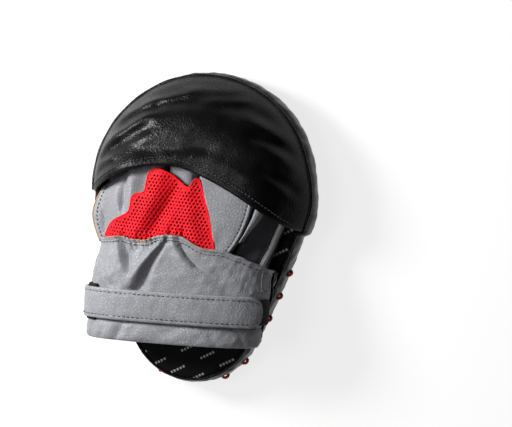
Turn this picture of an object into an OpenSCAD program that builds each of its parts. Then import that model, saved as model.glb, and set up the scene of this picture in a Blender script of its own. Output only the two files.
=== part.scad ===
// Focus mitt for boxing practice: a curved, padded target with a glove sewn on its back.
// It lies on its striking face. +Z is up through the glove, +Y runs to the finger end,
// and +X is the thumb side of a left-hand mitt. Sizes are in millimetres.

/* [Pad] */
// Length of the pad from wrist end to finger end
pad_len = 271; // [254:1:296]
// Width of the pad at its widest
pad_w = 198; // [184:1:216]
// Width of the round wrist end
heel_w = 118; // [110:1:130]
// Thickness of the pad at the finger end
tip_thick = 30; // [26:0.5:36]
// Thickness of the pad at the wrist end
heel_thick = 36; // [32:0.5:42]
// How far the striking face arches off the table
arch_rise = 8; // [5:0.5:11]
// How far the face bulges back between its edges
face_crown = 2; // [0:0.25:3]
// How far the straight sides bow out
side_bow = 2; // [0:0.25:4]
// Round-over of the pad's edge, measured inwards
edge_round = 12; // [9:0.5:14]
// Length of each flat that the pad lies on
foot_depth = 12; // [8:0.5:16]

/* [Materials] */
// Thickness of the leather
hide = 1.8; // [1.2:0.1:2.4]
// Thickness of the lining cloth
cloth = 1.2; // [0.8:0.1:1.8]
// Thickness of the impact gel sheet, as a share of the pad
gel_share = 0.14; // [0.08:0.01:0.2]
// Thickness of the soft foam above it, as a share of the pad
foam_share = 0.3; // [0.2:0.01:0.4]
// Clearance between one layer and the next
gap = 0.3; // [0.2:0.05:0.45]

/* [Target] */
// Diameter of the round target patch
disc_d = 80; // [60:1:95]
// How far the rim cover laps onto the striking face
rim_lap = 6; // [3:0.5:10]

/* [Lacing] */
// Thickness of the lace
lace_d = 2; // [1.4:0.1:2.6]
// Height of one lace loop along the wall
lace_loop = 9; // [6:0.5:12]
// How far a lace loop stands off the wall
lace_stand = 2.8; // [2.2:0.1:4]
// Distance from one lace loop to the next
lace_pitch = 22; // [16:1:30]
// Lace loops on each side
lace_count = 6; // [4:1:7]
// Slant of a lace loop
lace_slant = 35; // [0:1:50]

/* [Hood] */
// Height of the finger hood above the pad
hood_rise = 35; // [30:0.5:40]
// Distance over which the hood climbs from the rim
hood_run = 62; // [54:1:72]
// Distance from the pad's edge to the hood's seam
seam_inset = 3; // [2:0.25:5]
// Where the hood's mouth meets the rim on the thumb side
mouth_thumb_y = 4; // [2:1:10]
// Where the hood's mouth meets the rim on the little-finger side
mouth_outer_y = 26; // [20:1:32]
// Where the hood's mouth is cut back most, along the pad
mouth_peak_y = 54; // [46:1:60]
// Where the hood's mouth is cut back most, across the pad
mouth_peak_x = -18; // [-26:1:-8]
// Length of the hood's seam beside each end of its mouth
hood_side = 12; // [8:1:18]

/* [Hand] */
// Height of the glove over the knuckles, above the pad
knuckle_rise = 38; // [34:0.5:42]
// Height of the glove over the fingers, above the pad
finger_rise = 27; // [24:0.5:29]
// Width of a finger stall
stall_w = 34.5; // [29:0.5:35]
// Width of the little finger's stall
little_w = 23.5; // [21:0.5:24]
// Distance from one finger to the next
finger_pitch = 36.5; // [35.5:0.5:38]
// Width of the thumb stall
thumb_w = 23; // [19:0.5:25]
// Height of the thumb stall
thumb_rise = 25; // [20:0.5:30]
// How far the knuckle mesh reaches towards the fingers
mesh_reach = 48; // [42:0.5:52]

/* [Cuff] */
// Width of the cuff across the wrist
cuff_w = 158; // [150:1:164]
// Middle of the cuff across the pad
cuff_mid = -5; // [-8:0.5:0]
// Height of the cuff's arch above its springing line
cuff_rise = 27; // [24:0.5:32]
// Height of the springing line above the middle of the pad
cuff_lift = 14; // [11:0.5:18]
// Where the cuff ends, at the middle of the wrist
cuff_end_y = -97.5; // [-101:0.5:-95]
// Slant of the cuff's end and of the strap, rising to the thumb side
cuff_slant = 1.5; // [0:0.25:4]
// Length of the padded roll at the cuff's end
roll_len = 16; // [13:0.5:17]
// How far the roll stands proud of the cuff
roll_proud = 3; // [1:0.25:4]
// Where the cuff's hem ends on the thumb side
hem_thumb_y = -32; // [-36:0.5:-28]
// Where the cuff's hem ends on the little-finger side
hem_outer_y = -15; // [-20:0.5:-10]
// How far the hem rises in the middle
hem_rise = 17; // [10:0.5:22]
// Depth of the pleats below the hem
pleat_depth = 4; // [0:0.25:5]
// Length of the sewn tab below the hem's thumb end
tab_len = 16; // [12:0.5:18]

/* [Strap] */
// Width of the wrist strap
strap_w = 26; // [22:0.5:27]
// Middle of the strap along the cuff
strap_y = -66.5; // [-67:0.5:-62]
// Thickness of the strap
strap_thick = 2.4; // [1.8:0.1:3]
// Thickness of the hook tape, and of the loop tape
tape_thick = 1.2; // [0.8:0.1:1.6]
// Running clearance under the moving strap
strap_clear = 0.5; // [0.4:0.05:1]
// Direction of the strap's sewn end, round the cuff
anchor_angle = 150; // [144:6:156]
// Direction of the strap's middle fold, round the cuff
fold_angle = 96; // [84:6:108]
// How far the strap reaches to the thumb side
strap_reach = 74.5; // [66:0.5:75]
// Corner radius of the strap's free end
tip_corner = 11; // [6:0.5:12]

/* [Hidden] */

// Facets of the soft solids
crown_count = 22;
heel_count = 14;
side_count = 5;
face_rings = [0.28, 0.55, 0.78, 0.93, 1];
cover_rings = [0.28, 0.55, 0.72, 0.84, 0.91, 0.95, 0.98, 1];
heel_rings = [0.28, 0.55, 0.78, 0.93, 1];
wall_steps = 8;
arc_step = 6;

// Shape of the pad's wall and of the glove's arch: 1 is an ellipse, less is squarer
wall_power = 0.7;
arch_power = 0.8;

// Plan of the pad: a large arc at the fingers, a small one at the wrist, and straight sides
crown_r = pad_w / 2;
heel_r = heel_w / 2;
crown_y = pad_len / 2 - crown_r;
heel_y = heel_r - pad_len / 2;
lean = asin((crown_r - heel_r) / (crown_y - heel_y));
side_len = (crown_y - heel_y) * cos(lean);
rim_count = crown_count + heel_count + 2 * side_count;
arch_end = pad_len / 2 - edge_round - foot_depth;

function mix(a, b, t) = a + (b - a) * t;
function clamp01(t) = min(1, max(0, t));
function smooth(t) = let (c = clamp01(t)) c * c * (3 - 2 * c);
function spow(v, p) = sign(v) * pow(abs(v), p);
function steps(a, b, n) = [for (k = [0:n]) mix(a, b, k / n)];
function flip(list) = [for (k = [len(list) - 1:-1:0]) list[k]];

// A rim station is its place on the pad's outline and the outward direction there
function rim_arc(r, y, a) = [r * cos(a), y + r * sin(a), cos(a), sin(a)];
function bow(t) = side_bow * 4 * t * (1 - t);
function rim_side(a, t) =
    mix(rim_arc(crown_r, crown_y, a), rim_arc(heel_r, heel_y, a), t) + bow(t) * [cos(a), sin(a), 0, 0];
rim = concat(
    [for (a = steps(-lean, 180 + lean, crown_count)) rim_arc(crown_r, crown_y, a)],
    [for (k = [1:side_count - 1]) rim_side(180 + lean, k / side_count)],
    [for (a = steps(180 + lean, 360 - lean, heel_count)) rim_arc(heel_r, heel_y, a)],
    [for (k = [side_count - 1:-1:1]) rim_side(-lean, k / side_count)]
);
function station(i) = rim[(i + rim_count) % rim_count];

// A place on the thumb side's outline, by its distance from the crown arc
function side_place(dist) = dist < side_len
    ? rim_side(-lean, dist / side_len)
    : rim_arc(heel_r, heel_y, -lean - (dist - side_len) / heel_r * 180 / PI);

// Half the pad's width at y, and how far a point lies inside the crown arc
crown_tangent_y = crown_y - crown_r * sin(lean);
heel_tangent_y = heel_y - heel_r * sin(lean);
function half_width(y) =
    y > crown_tangent_y ? sqrt(max(0, crown_r * crown_r - pow(y - crown_y, 2)))
    : y > heel_tangent_y ? let (t = (crown_tangent_y - y) / (crown_tangent_y - heel_tangent_y))
        cos(lean) * (mix(crown_r, heel_r, t) + bow(t))
    : sqrt(max(0, heel_r * heel_r - pow(y - heel_y, 2)));
function inset(x, y) = crown_r - norm([x, y - crown_y]);

// Heights of the striking face and of the back
function face_z(y) = arch_rise * (1 - pow(min(abs(y), arch_end) / arch_end, 2));
function thickness(y) = mix(heel_thick, tip_thick, smooth(y / pad_len + 0.5));
function back_z(y) = face_z(y) + thickness(y);

// A point of the pad's skin at station i: q is 0 to 1 over the face from its middle,
// 1 to 2 up the wall, and 2 to 3 over the back to its middle. depth is measured inwards.
function skin(i, q, depth) =
    let (s = station(i), n = [s.z, s[3]], outline = [s.x, s.y])
    q <= 1 ? let (p = (outline - edge_round * n) * q)
        [p.x, p.y, max(0, face_z(p.y) - face_crown * (1 - q * q)) + depth]
    : q >= 2 ? let (p = (outline - edge_round * n) * (3 - q))
        [p.x, p.y, back_z(p.y) - depth]
    : let (a = 180 * (q - 1) - 90,
           p = outline - (edge_round * (1 - pow(cos(a), wall_power)) + depth * cos(a)) * n)
        [p.x, p.y, face_z(p.y) + thickness(p.y) * (1 + spow(sin(a), wall_power)) / 2 - depth * sin(a)];
function ring(q, depth) = [for (i = [0:rim_count - 1]) skin(i, q, depth)];

// A level sheet inside the pad, at share h of its thickness, inside the foam's own edge
function level_ring(s, h, q_edge, depth) = [for (i = [0:rim_count - 1])
    let (e = skin(i, q_edge, depth), p = [e.x, e.y] * s) [p.x, p.y, face_z(p.y) + h * thickness(p.y)]];
function share_at(q) = (1 + spow(sin(180 * (q - 1) - 90), wall_power)) / 2;
function q_at(share) = 1 + (asin(spow(2 * share - 1, 1 / wall_power)) + 90) / 180;

// Closed solid from a pole, rings of points and a second pole
module lathe(pole_a, rings, pole_b) {
    n = len(rings[0]);
    m = len(rings);
    at = function(j, k) 1 + j * n + k % n;
    polyhedron(
        concat([pole_a], [for (r = rings) each r], [pole_b]),
        concat(
            [for (k = [0:n - 1]) [0, at(0, k), at(0, k + 1)]],
            [for (j = [0:m - 2], k = [0:n - 1]) each [
                [at(j, k), at(j + 1, k), at(j + 1, k + 1)], [at(j, k), at(j + 1, k + 1), at(j, k + 1)]]],
            [for (k = [0:n - 1]) [m * n + 1, at(m - 1, k + 1), at(m - 1, k)]]
        )
    );
}

// Closed sheet between two grids. Seen from the outer side, columns run left to right
// and rows from top to bottom.
module sheet(outer, inner) {
    r_n = len(outer) - 1;
    c_n = len(outer[0]) - 1;
    w = c_n + 1;
    o = function(r, c) r * w + c;
    i = function(r, c) (r_n + 1) * w + r * w + c;
    quad = function(a, b, c, d) [[a, b, c], [a, c, d]];
    polyhedron(
        concat([for (row = outer) each row], [for (row = inner) each row]),
        concat(
            [for (r = [0:r_n - 1], c = [0:c_n - 1]) each
                quad(o(r, c), o(r, c + 1), o(r + 1, c + 1), o(r + 1, c))],
            [for (r = [0:r_n - 1], c = [0:c_n - 1]) each
                [[i(r, c), i(r + 1, c + 1), i(r, c + 1)], [i(r, c), i(r + 1, c), i(r + 1, c + 1)]]],
            [for (c = [0:c_n - 1]) each quad(o(0, c + 1), o(0, c), i(0, c), i(0, c + 1))],
            [for (c = [0:c_n - 1]) each quad(o(r_n, c), o(r_n, c + 1), i(r_n, c + 1), i(r_n, c))],
            [for (r = [0:r_n - 1]) each quad(o(r, 0), o(r + 1, 0), i(r + 1, 0), i(r, 0))],
            [for (r = [0:r_n - 1]) each quad(o(r + 1, c_n), o(r, c_n), i(r, c_n), i(r + 1, c_n))]
        )
    );
}

// Pad skins

// Where the face panel ends: short of the rim cover's lap, or round the edge to the side gusset.
// The gusset's and the lining's edges are shares of the way up the wall.
face_size = pad_len / 2 - edge_round;
lap_q = 1 - rim_lap / face_size;
gusset_share = 0.25;
lining_share = 0.8;
gusset_q = 1 + gusset_share;
lining_q = 1 + lining_share;
q_gap = gap / thickness(0);
cover_end = crown_count + 1;
function from_cover(i) = let (k = (i + rim_count) % rim_count) max(0, min(k - cover_end, rim_count - 1 - k));
function face_edge_q(i) = mix(lap_q, gusset_q, min(1, from_cover(i) / 3));
function face_qs(i) = from_cover(i) == 0
    ? lap_q * cover_rings
    : concat(heel_rings, [for (t = [1:3]) mix(1, face_edge_q(i), t / 3)]);

module face_panel() {
    rows = len(cover_rings);
    face_ring = function(j, depth) [for (i = [0:rim_count - 1]) skin(i, face_qs(i)[j], depth)];
    color("dimgray") lathe(
        skin(0, 0, 0),
        concat([for (j = [0:rows - 1]) face_ring(j, 0)], [for (j = [rows - 1:-1:0]) face_ring(j, hide)]),
        skin(0, 0, hide)
    );
}

// Wall band from its lower edge at q_low(i) up to the lining, over stations first to last
module wall_band(first, last, q_low) {
    grid = function(depth) [for (t = steps(1, 0, wall_steps)) [for (i = [first:last])
        skin(i, mix(q_low(i), lining_q - q_gap, t), depth)]];
    sheet(grid(0), grid(hide));
}

module rim_cover() {
    color("#1b1b1d") wall_band(-1, cover_end, function(i) face_edge_q(i) + q_gap);
}

module side_gusset() {
    color("#222224") wall_band(cover_end, rim_count - 1, function(i) face_edge_q(i) + q_gap);
}

module back_lining() {
    back_qs = concat([for (s = face_rings) 3 - s], [mix(2, lining_q, 0.5), lining_q]);
    color("#151517") lathe(
        skin(0, 3, cloth),
        concat([for (q = back_qs) ring(q, cloth)], [for (q = flip(back_qs)) ring(q, 0)]),
        skin(0, 3, 0)
    );
}

// Target patch, flush on the outside of the face
module target_disc() {
    disc_n = 32;
    disc_clear = 2 * gap;
    disc_z = function(x, y, depth) [x, y, max(0, face_z(y) - face_crown) - disc_clear - depth];
    disc_ring = function(s, depth) [for (k = [0:disc_n - 1])
        let (a = 360 * k / disc_n) disc_z(s * disc_d / 2 * cos(a), s * disc_d / 2 * sin(a), depth)];
    rings = [0.35, 0.7, 1];
    color("crimson") lathe(
        disc_z(0, 0, hide),
        concat([for (s = rings) disc_ring(s, hide)], [for (s = flip(rings)) disc_ring(s, 0)]),
        disc_z(0, 0, 0)
    );
}

// Pad filling

// The filling keeps off the skins by the clearance and by the room that their facets take
facet_room = 0.5;
foam_depth = hide + gap + facet_room;
gel_q = q_at(gel_share);
foam_q = q_at(gel_share + foam_share);

// One slice of the filling, from a lower surface to an upper one, with the wall between
module filling(lower_pole, lower, q_low, q_high, upper, upper_pole) {
    wall = [for (q = steps(q_low, q_high, 2)) ring(q, foam_depth)];
    lathe(lower_pole, concat(lower, wall, upper), upper_pole);
}
function level(h, q_edge, order) = [for (s = order) if (s < 1) level_ring(s, h, q_edge, foam_depth)];
function level_pole(h) = [0, 0, face_z(0) + h * thickness(0)];
layer_share = gap / thickness(0);

module gel_layer() {
    color("mediumaquamarine") filling(
        skin(0, 0, foam_depth), [for (s = face_rings) if (s < 1) ring(s, foam_depth)], 1, gel_q,
        level(share_at(gel_q), gel_q, flip(face_rings)), level_pole(share_at(gel_q)));
}

module face_foam() {
    low = q_at(gel_share + layer_share);
    color("lightyellow") filling(
        level_pole(share_at(low)), level(share_at(low), low, face_rings), low, foam_q,
        level(share_at(foam_q), foam_q, flip(face_rings)), level_pole(share_at(foam_q)));
}

module core_foam() {
    low = q_at(gel_share + foam_share + layer_share);
    color("gainsboro") filling(
        level_pole(share_at(low)), level(share_at(low), low, face_rings), low, 2,
        [for (s = flip(face_rings)) if (s < 1) ring(3 - s, foam_depth)], skin(0, 3, foam_depth));
}

// Lace loops up the side wall of the lower pad
module lace_loops() {
    first = 36;
    chord = (lace_loop - lace_d) / 2;
    bow = lace_stand - lace_d / 2;
    bend_r = (chord * chord + bow * bow) / (2 * bow);
    turn = 2 * atan(bow / chord);
    for (k = [0:lace_count - 1]) {
        s = side_place(first + k * lace_pitch);
        mid_z = face_z(s.y) + thickness(s.y) / 2;
        translate([s.x + gap * s.z, s.y + gap * s[3], mid_z])
            rotate([0, 0, atan2(s[3], s.z)]) rotate([lace_slant, 0, 0])
                rotate([0, 0, -90]) rotate([0, -90, 0])
                    intersection() {
                        translate([0, bow - bend_r, 0]) rotate([0, 0, 90 - turn])
                            rotate_extrude(angle = 2 * turn) translate([bend_r, 0]) circle(d = lace_d, $fn = 24);
                        translate([-lace_loop, 0, -lace_d]) cube([2 * lace_loop, lace_loop, 2 * lace_d]);
                    }
    }
}

module side_lacing_thumb() {
    color("red") lace_loops();
}

module side_lacing_outer() {
    color("red") mirror([1, 0, 0]) lace_loops();
}

// Finger hood

// Height of the hood's underside above the pad's back
function edge_drop(d, y) = let (c = pow(clamp01(1 - d / edge_round), 1 / wall_power))
    thickness(y) / 2 * (1 - pow(1 - c * c, wall_power / 2));
function hood_height(x, y) = let (d = inset(x, y))
    hood_rise * (1 - pow(1 - clamp01((d - seam_inset) / hood_run), 3)) - edge_drop(d, y);
function hood_under(x, y) = back_z(y) + 2 * gap + hood_height(x, y);
hood_steep = 1.3;

// The hood's mouth from the little-finger side, v = 0, to the thumb side, v = 1
mouth_x0 = seam_inset - half_width(mouth_outer_y);
mouth_x1 = half_width(mouth_thumb_y) - seam_inset;
function mouth_y(x) = x < mouth_peak_x
    ? mix(mouth_peak_y, mouth_outer_y, pow((mouth_peak_x - x) / (mouth_peak_x - mouth_x0), 2))
    : mix(mouth_peak_y, mouth_thumb_y, pow((x - mouth_peak_x) / (mouth_x1 - mouth_peak_x), 1.5));
function mouth(v) = let (x = mix(mouth_x0, mouth_x1, (1 - cos(180 * v)) / 2)) [x, mouth_y(x)];
function seam(v) =
    let (a0 = 180 - asin((mouth_outer_y + hood_side - crown_y) / crown_r),
         a1 = asin((mouth_thumb_y + hood_side - crown_y) / crown_r), a = mix(a0, a1, v))
    [0, crown_y] + (crown_r - seam_inset) * [cos(a), sin(a)];

module hood_sheet(low, high) {
    rows = 9;
    cols = 26;
    grid = function(lift) [for (t = steps(0, 1, rows)) [for (v = steps(0, 1, cols))
        let (p = mix(seam(v), mouth(v), 0.02 + 0.98 * pow(t, 1.3))) [p.x, p.y, hood_under(p.x, p.y) + lift]]];
    sheet(grid(high), grid(low));
}

module finger_hood() {
    color("#161618") hood_sheet(hood_steep * cloth + gap, hood_steep * (cloth + hide) + gap);
}

module hood_lining() {
    color("#2a2a2c") hood_sheet(0, hood_steep * cloth);
}

// Glove arch: a runs from 0 at the thumb side to 180 at the little-finger side

blend_y0 = -46;
blend_y1 = 4;
spring_z = back_z(0) + cuff_lift;
hand_spring = 3;
hand_inset = 9;
function to_hand(y) = smooth((y - blend_y0) / (blend_y1 - blend_y0));
function arch_mid(y) = cuff_mid * (1 - to_hand(y));
function arch_half(y) = mix(cuff_w / 2, half_width(y) - hand_inset, to_hand(y));
function arch_spring(y) = mix(spring_z, back_z(y) + hand_spring, to_hand(y));
function arch_top(y) = mix(cuff_rise,
    mix(knuckle_rise, finger_rise, smooth((y - blend_y1) / (crown_y + crown_r - blend_y1))) - hand_spring, to_hand(y));

// Pleats gathered under the hem: each is its direction at the hem, its drift below it and its width
pleats = [[122, 4, 7], [100, 12, 8], [84, -20, 8]];
function hem_y(a) = mix(hem_thumb_y, hem_outer_y, a / 180) + hem_rise * pow(sin(a), 3);
function slant_y(a) = tan(cuff_slant) * cuff_w / 2 * spow(cos(a), arch_power);
function pleat(a, y) =
    let (end = strap_y + strap_w / 2 + slant_y(a) + 2, down = clamp01((hem_y(a) - y) / (hem_y(a) - end)))
    y > hem_y(a) ? 0
    : pleat_depth * smooth(1 - down) * max([for (p = pleats) exp(-pow((a - p[0] - p[1] * down) / p[2], 2))]);

// A point of the glove's arch. Under the hood it is held below the hood's lining.
hood_tuck = 2;
hood_fade = 24;
function below_hood(x, y, z, drop) =
    mix(z, min(z, hood_under(x, y) - drop), smooth((y - mouth_thumb_y) / hood_fade + 1));
function arch_point(a, y, depth) =
    let (x = arch_mid(y) + (arch_half(y) - depth) * spow(cos(a), arch_power),
         z = arch_spring(y) + (arch_top(y) - depth) * spow(max(0, sin(a)), arch_power))
    [x, y, below_hood(x, y, z, hood_tuck + depth)];

// Sheet on the arch between two depths. Its ends in y are functions of the direction a.
module arch_sheet(a_list, y_low, y_high, rows, low, high) {
    grid = function(depth) [for (t = steps(1, 0, rows)) [for (a = a_list)
        let (y = mix(y_low(a), y_high(a), t)) arch_point(a, y, depth + pleat(a, y))]];
    sheet(grid(high), grid(low));
}
function arc_list(from, to) = steps(from, to, max(1, round(abs(to - from) / arc_step)));

// Cuff

function cuff_seam_y(a) = cuff_end_y + roll_len + slant_y(a);
cuff_rows = 11;
cuff_arcs = steps(180, 0, 45);
roll_arcs = steps(180, 0, 30);

module cuff_panel() {
    color("gray") arch_sheet(cuff_arcs, function(a) cuff_seam_y(a) + gap, function(a) hem_y(a), cuff_rows, hide, 0);
}

module cuff_lining() {
    under = hide + gap;
    color("#1e1e20") arch_sheet(roll_arcs, function(a) cuff_seam_y(a) + gap,
        function(a) strap_y + slant_y(a) + strap_w / 2, 3, under + cloth, under);
}

// Padded roll at the wrist end of the cuff
module cuff_roll() {
    rows = 6;
    roll_core = 5;
    grid = function(edge, swell) [for (t = steps(1, 0, rows)) [for (a = roll_arcs)
        arch_point(a, cuff_seam_y(a) - roll_len * (1 - t), edge + swell * sin(180 * t))]];
    color("darkgray") sheet(grid(0, -roll_proud), grid(hide, roll_core));
}

// Side wall from the cuff's arch down to the pad's back, drawn on the thumb side.
// a is the cuff's direction at that side, hem its end, and side is -1 where it is mirrored.
module wrist_gusset(a, hem, side) {
    swell = 3;
    rows = 5;
    cols = 8;
    grid = function(depth) [for (t = steps(0, 1, rows)) [for (y = steps(cuff_end_y + slant_y(a), hem, cols))
        let (top = [arch_half(y) + side * arch_mid(y), arch_spring(y) - 2 * gap], foot = [half_width(y) - edge_round / 2, back_z(y) + gap],
             p = mix(top, foot, t) + [swell * sin(180 * t) - depth, 0])
        [p.x, y, p.y]]];
    sheet(grid(0), grid(hide));
}

module wrist_gusset_thumb() {
    color("#1c1c1e") wrist_gusset(0, hem_thumb_y, 1);
}

module wrist_gusset_outer() {
    color("#1c1c1e") mirror([1, 0, 0]) wrist_gusset(180, hem_outer_y, -1);
}

// Sewn tab at the thumb end of the cuff's hem
module cuff_tab() {
    color("gray") arch_sheet(arc_list(24, 6), function(a) hem_y(a) - 2 - tab_len, function(a) hem_y(a) - 2, 4,
        -gap, -gap - hide);
}

// Fingers

// A finger stall: x at its knuckle end, its width, its drift towards the tip, its ends in y,
// and how far it keeps below the hood
stall_start_y = 0.03 * pad_w;
finger_mid = -5;
stall_room = 0.8;
stall_clear = 2 * hood_tuck + gap;
stall_drop = stall_clear + hide;
little_x = finger_mid - finger_pitch - (stall_w + little_w) / 2 - stall_room;
fingers = [
    [little_x, little_w, 3, crown_y - 0.12 * crown_r, crown_y + 0.35 * crown_r, stall_drop + hood_tuck],
    [finger_mid - finger_pitch, stall_w, 3, stall_start_y, crown_y + 0.6 * crown_r, stall_drop],
    [finger_mid, stall_w, 1, stall_start_y, crown_y + 0.7 * crown_r, stall_drop],
    [finger_mid + finger_pitch, stall_w, -1, stall_start_y, crown_y + 0.58 * crown_r, stall_drop]
];

// Half-tube over one finger, open to the pad's back
module stall(x0, width, drift, y0, y1, drop) {
    rows = 7;
    grid = function(depth) [for (y = steps(y1, y0, rows)) [for (a = steps(180, 0, 12))
        let (xc = x0 + drift * (y - y0) / (y1 - y0), b = width / 2,
             u = clamp01(abs(xc - arch_mid(y)) / arch_half(y)),
             top = arch_spring(y) + arch_top(y) * pow(1 - pow(u, 2 / arch_power), arch_power / 2) - stall_drop,
             x = xc + (b - depth) * spow(cos(a), arch_power),
             base = back_z(y) + gap,
             z = base + (top - base - depth) * spow(max(0, sin(a)), arch_power))
        [x, y, below_hood(x, y, z, drop + depth)]]];
    sheet(grid(0), grid(hide));
}

module finger_stall(k) {
    f = fingers[k];
    color("gray") stall(f[0], f[1], f[2], f[3], f[4], f[5]);
}

module little_finger_stall() {
    finger_stall(0);
}

module ring_finger_stall() {
    finger_stall(1);
}

module middle_finger_stall() {
    finger_stall(2);
}

module index_finger_stall() {
    finger_stall(3);
}

// Half-tube over the thumb, beside the index finger
module thumb_stall() {
    rows = 5;
    y0 = mix(hem_thumb_y, mouth_thumb_y, 0.4);
    y1 = mouth_thumb_y + 0.28 * crown_r;
    thumb_room = 3;
    thumb_drift = 2;
    thumb_x0 = fingers[3][0] + stall_w / 2 + thumb_room + thumb_w / 2;
    grid = function(depth) [for (y = steps(y1, y0, rows)) [for (a = steps(180, 0, 12))
        let (xc = thumb_x0 + thumb_drift * (y - y0) / (y1 - y0), base = back_z(y) + gap,
             x = xc + (thumb_w / 2 - depth) * spow(cos(a), arch_power),
             z = base + (thumb_rise - depth) * spow(max(0, sin(a)), arch_power))
        [x, y, below_hood(x, y, z, stall_drop + depth)]]];
    color("#4a4a4d") sheet(grid(0), grid(hide));
}

// Back of the hand

// Upper edge of the knuckle mesh, by direction and as a share of its reach: its points go up between the fingers
mesh_from = 158;
mesh_to = 75;
mesh_edge = [[73, -0.28], [82, 0.4], [86.5, 0.89], [89, 0.84], [90, 0.71], [96, 0.93], [101, 1], [106.5, 0.98],
             [109, 0.91], [110, 0.57], [117.5, 0.55], [120.5, 0.51], [122.5, 0.17], [136.5, 0.08], [150, -0.07],
             [160, -0.27]];
mesh_arcs = steps(mesh_from, mesh_to, 28);

module knuckle_mesh() {
    under = hide + gap;
    color("red") arch_sheet(mesh_arcs, function(a) hem_y(a) + gap, function(a) mesh_reach * lookup(a, mesh_edge), 7,
        under + cloth, under);
}

// Little-finger side of the glove, running under the mesh
module outer_side_panel() {
    under = hide + cloth + 2 * gap;
    panel_tuck = 0.06 * crown_r;
    panel_to = 131;
    panel_rise = 0.14 * crown_r;
    color("gray") arch_sheet(arc_list(180, panel_to), function(a) hem_y(a) + gap,
        function(a) mouth_outer_y + panel_tuck + panel_rise * (180 - a) / (180 - panel_to), 8, under + hide, under);
}

// Wrist strap: prismatic bands over the cuff, with the hook and loop tapes between them

// Point of the cuff's cross-section at direction a, lifted off it
function cuff_point(a, lift) = [cuff_mid + (cuff_w / 2 + lift) * spow(cos(a), arch_power),
                                spring_z + (cuff_rise + lift) * spow(sin(a), arch_power)];
tape_lift = gap;
hook_lift = tape_lift + tape_thick + strap_clear;
strap_lift = hook_lift + tape_thick + gap;
strap_top = strap_lift + strap_thick;
anchor_drop = 10;
fold_gap = 0.8;

// Angle round the cuff that spans the gap at a fold
fold_deg = fold_gap / (cuff_w / 2) * 180 / PI;

// Ring over the cuff from direction a0 to a1, between two lifts, with its foot below the springing line
module cuff_ring(a0, a1, low, high, foot = 0) {
    arcs = steps(a0, a1, max(1, round(abs(a1 - a0) / 4)));
    down = foot > 0 ? [[0, -foot]] : [];
    length = 2 * abs(strap_y);
    translate([0, strap_y + length / 2, 0]) rotate([90, 0, 0]) linear_extrude(length)
        polygon(concat([for (d = down) cuff_point(a0, high) + d], [for (a = arcs) cuff_point(a, high)],
                       [for (a = flip(arcs)) cuff_point(a, low)], [for (d = down) cuff_point(a0, low) + d]));
}

// Plan of a strap, drawn in by an edge, from well outside the cuff to its reach
module strap_plan(width, reach, corner) {
    start = -cuff_w;
    height = 3 * spring_z;
    translate([0, strap_y, 0]) rotate([0, 0, cuff_slant]) linear_extrude(height) {
        translate([start, -width / 2]) square([reach - corner - start, width]);
        translate([start, corner - width / 2]) square([reach - start, width - 2 * corner]);
        for (side = [-1, 1])
            translate([reach - corner, side * (width / 2 - corner)]) circle(corner, $fn = 48);
    }
}

module loop_patch() {
    color("#101012") intersection() {
        cuff_ring(90, 6, tape_lift, tape_lift + tape_thick);
        strap_plan(strap_w - 4, strap_reach + 3, 1);
    }
}

// Elastic tab under the strap's sewn end, wider than the strap
module strap_elastic() {
    color("#0e0e10") intersection() {
        cuff_ring(180, anchor_angle - 4, tape_lift, strap_lift - gap, anchor_drop);
        strap_plan(strap_w + 5, strap_reach, 1);
    }
}

// Part of the strap between two directions
module strap_part(a0, a1, foot = 0) {
    intersection() {
        cuff_ring(a0, a1, strap_lift, strap_top, foot);
        strap_plan(strap_w, strap_reach, tip_corner);
    }
}

module strap_anchor() {
    color("gray") strap_part(180, anchor_angle, anchor_drop);
}

module strap_band() {
    color("gray") strap_part(anchor_angle - fold_deg, fold_angle);
}

module strap_tip() {
    color("gray") strap_part(fold_angle - fold_deg, 4);
}

module hook_patch() {
    edge = 2;
    color("#0c0c0e") intersection() {
        cuff_ring(fold_angle - 12, 4, hook_lift, hook_lift + tape_thick);
        strap_plan(strap_w - 2 * edge, strap_reach - edge, tip_corner - edge);
    }
}

face_panel();
target_disc();
gel_layer();
face_foam();
core_foam();
rim_cover();
side_gusset();
back_lining();
side_lacing_thumb();
side_lacing_outer();
finger_hood();
hood_lining();
little_finger_stall();
ring_finger_stall();
middle_finger_stall();
index_finger_stall();
thumb_stall();
knuckle_mesh();
outer_side_panel();
cuff_panel();
cuff_lining();
cuff_roll();
wrist_gusset_thumb();
wrist_gusset_outer();
cuff_tab();
loop_patch();
strap_elastic();
strap_anchor();
strap_band();
strap_tip();
hook_patch();
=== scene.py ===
"""Focus mitt: padded target, glove back and wrist strap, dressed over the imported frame.
Lengths in the tables and functions are millimetres; meshes are made in metres."""
import bpy
import math
import numpy as np
from mathutils import Matrix, Vector


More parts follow.
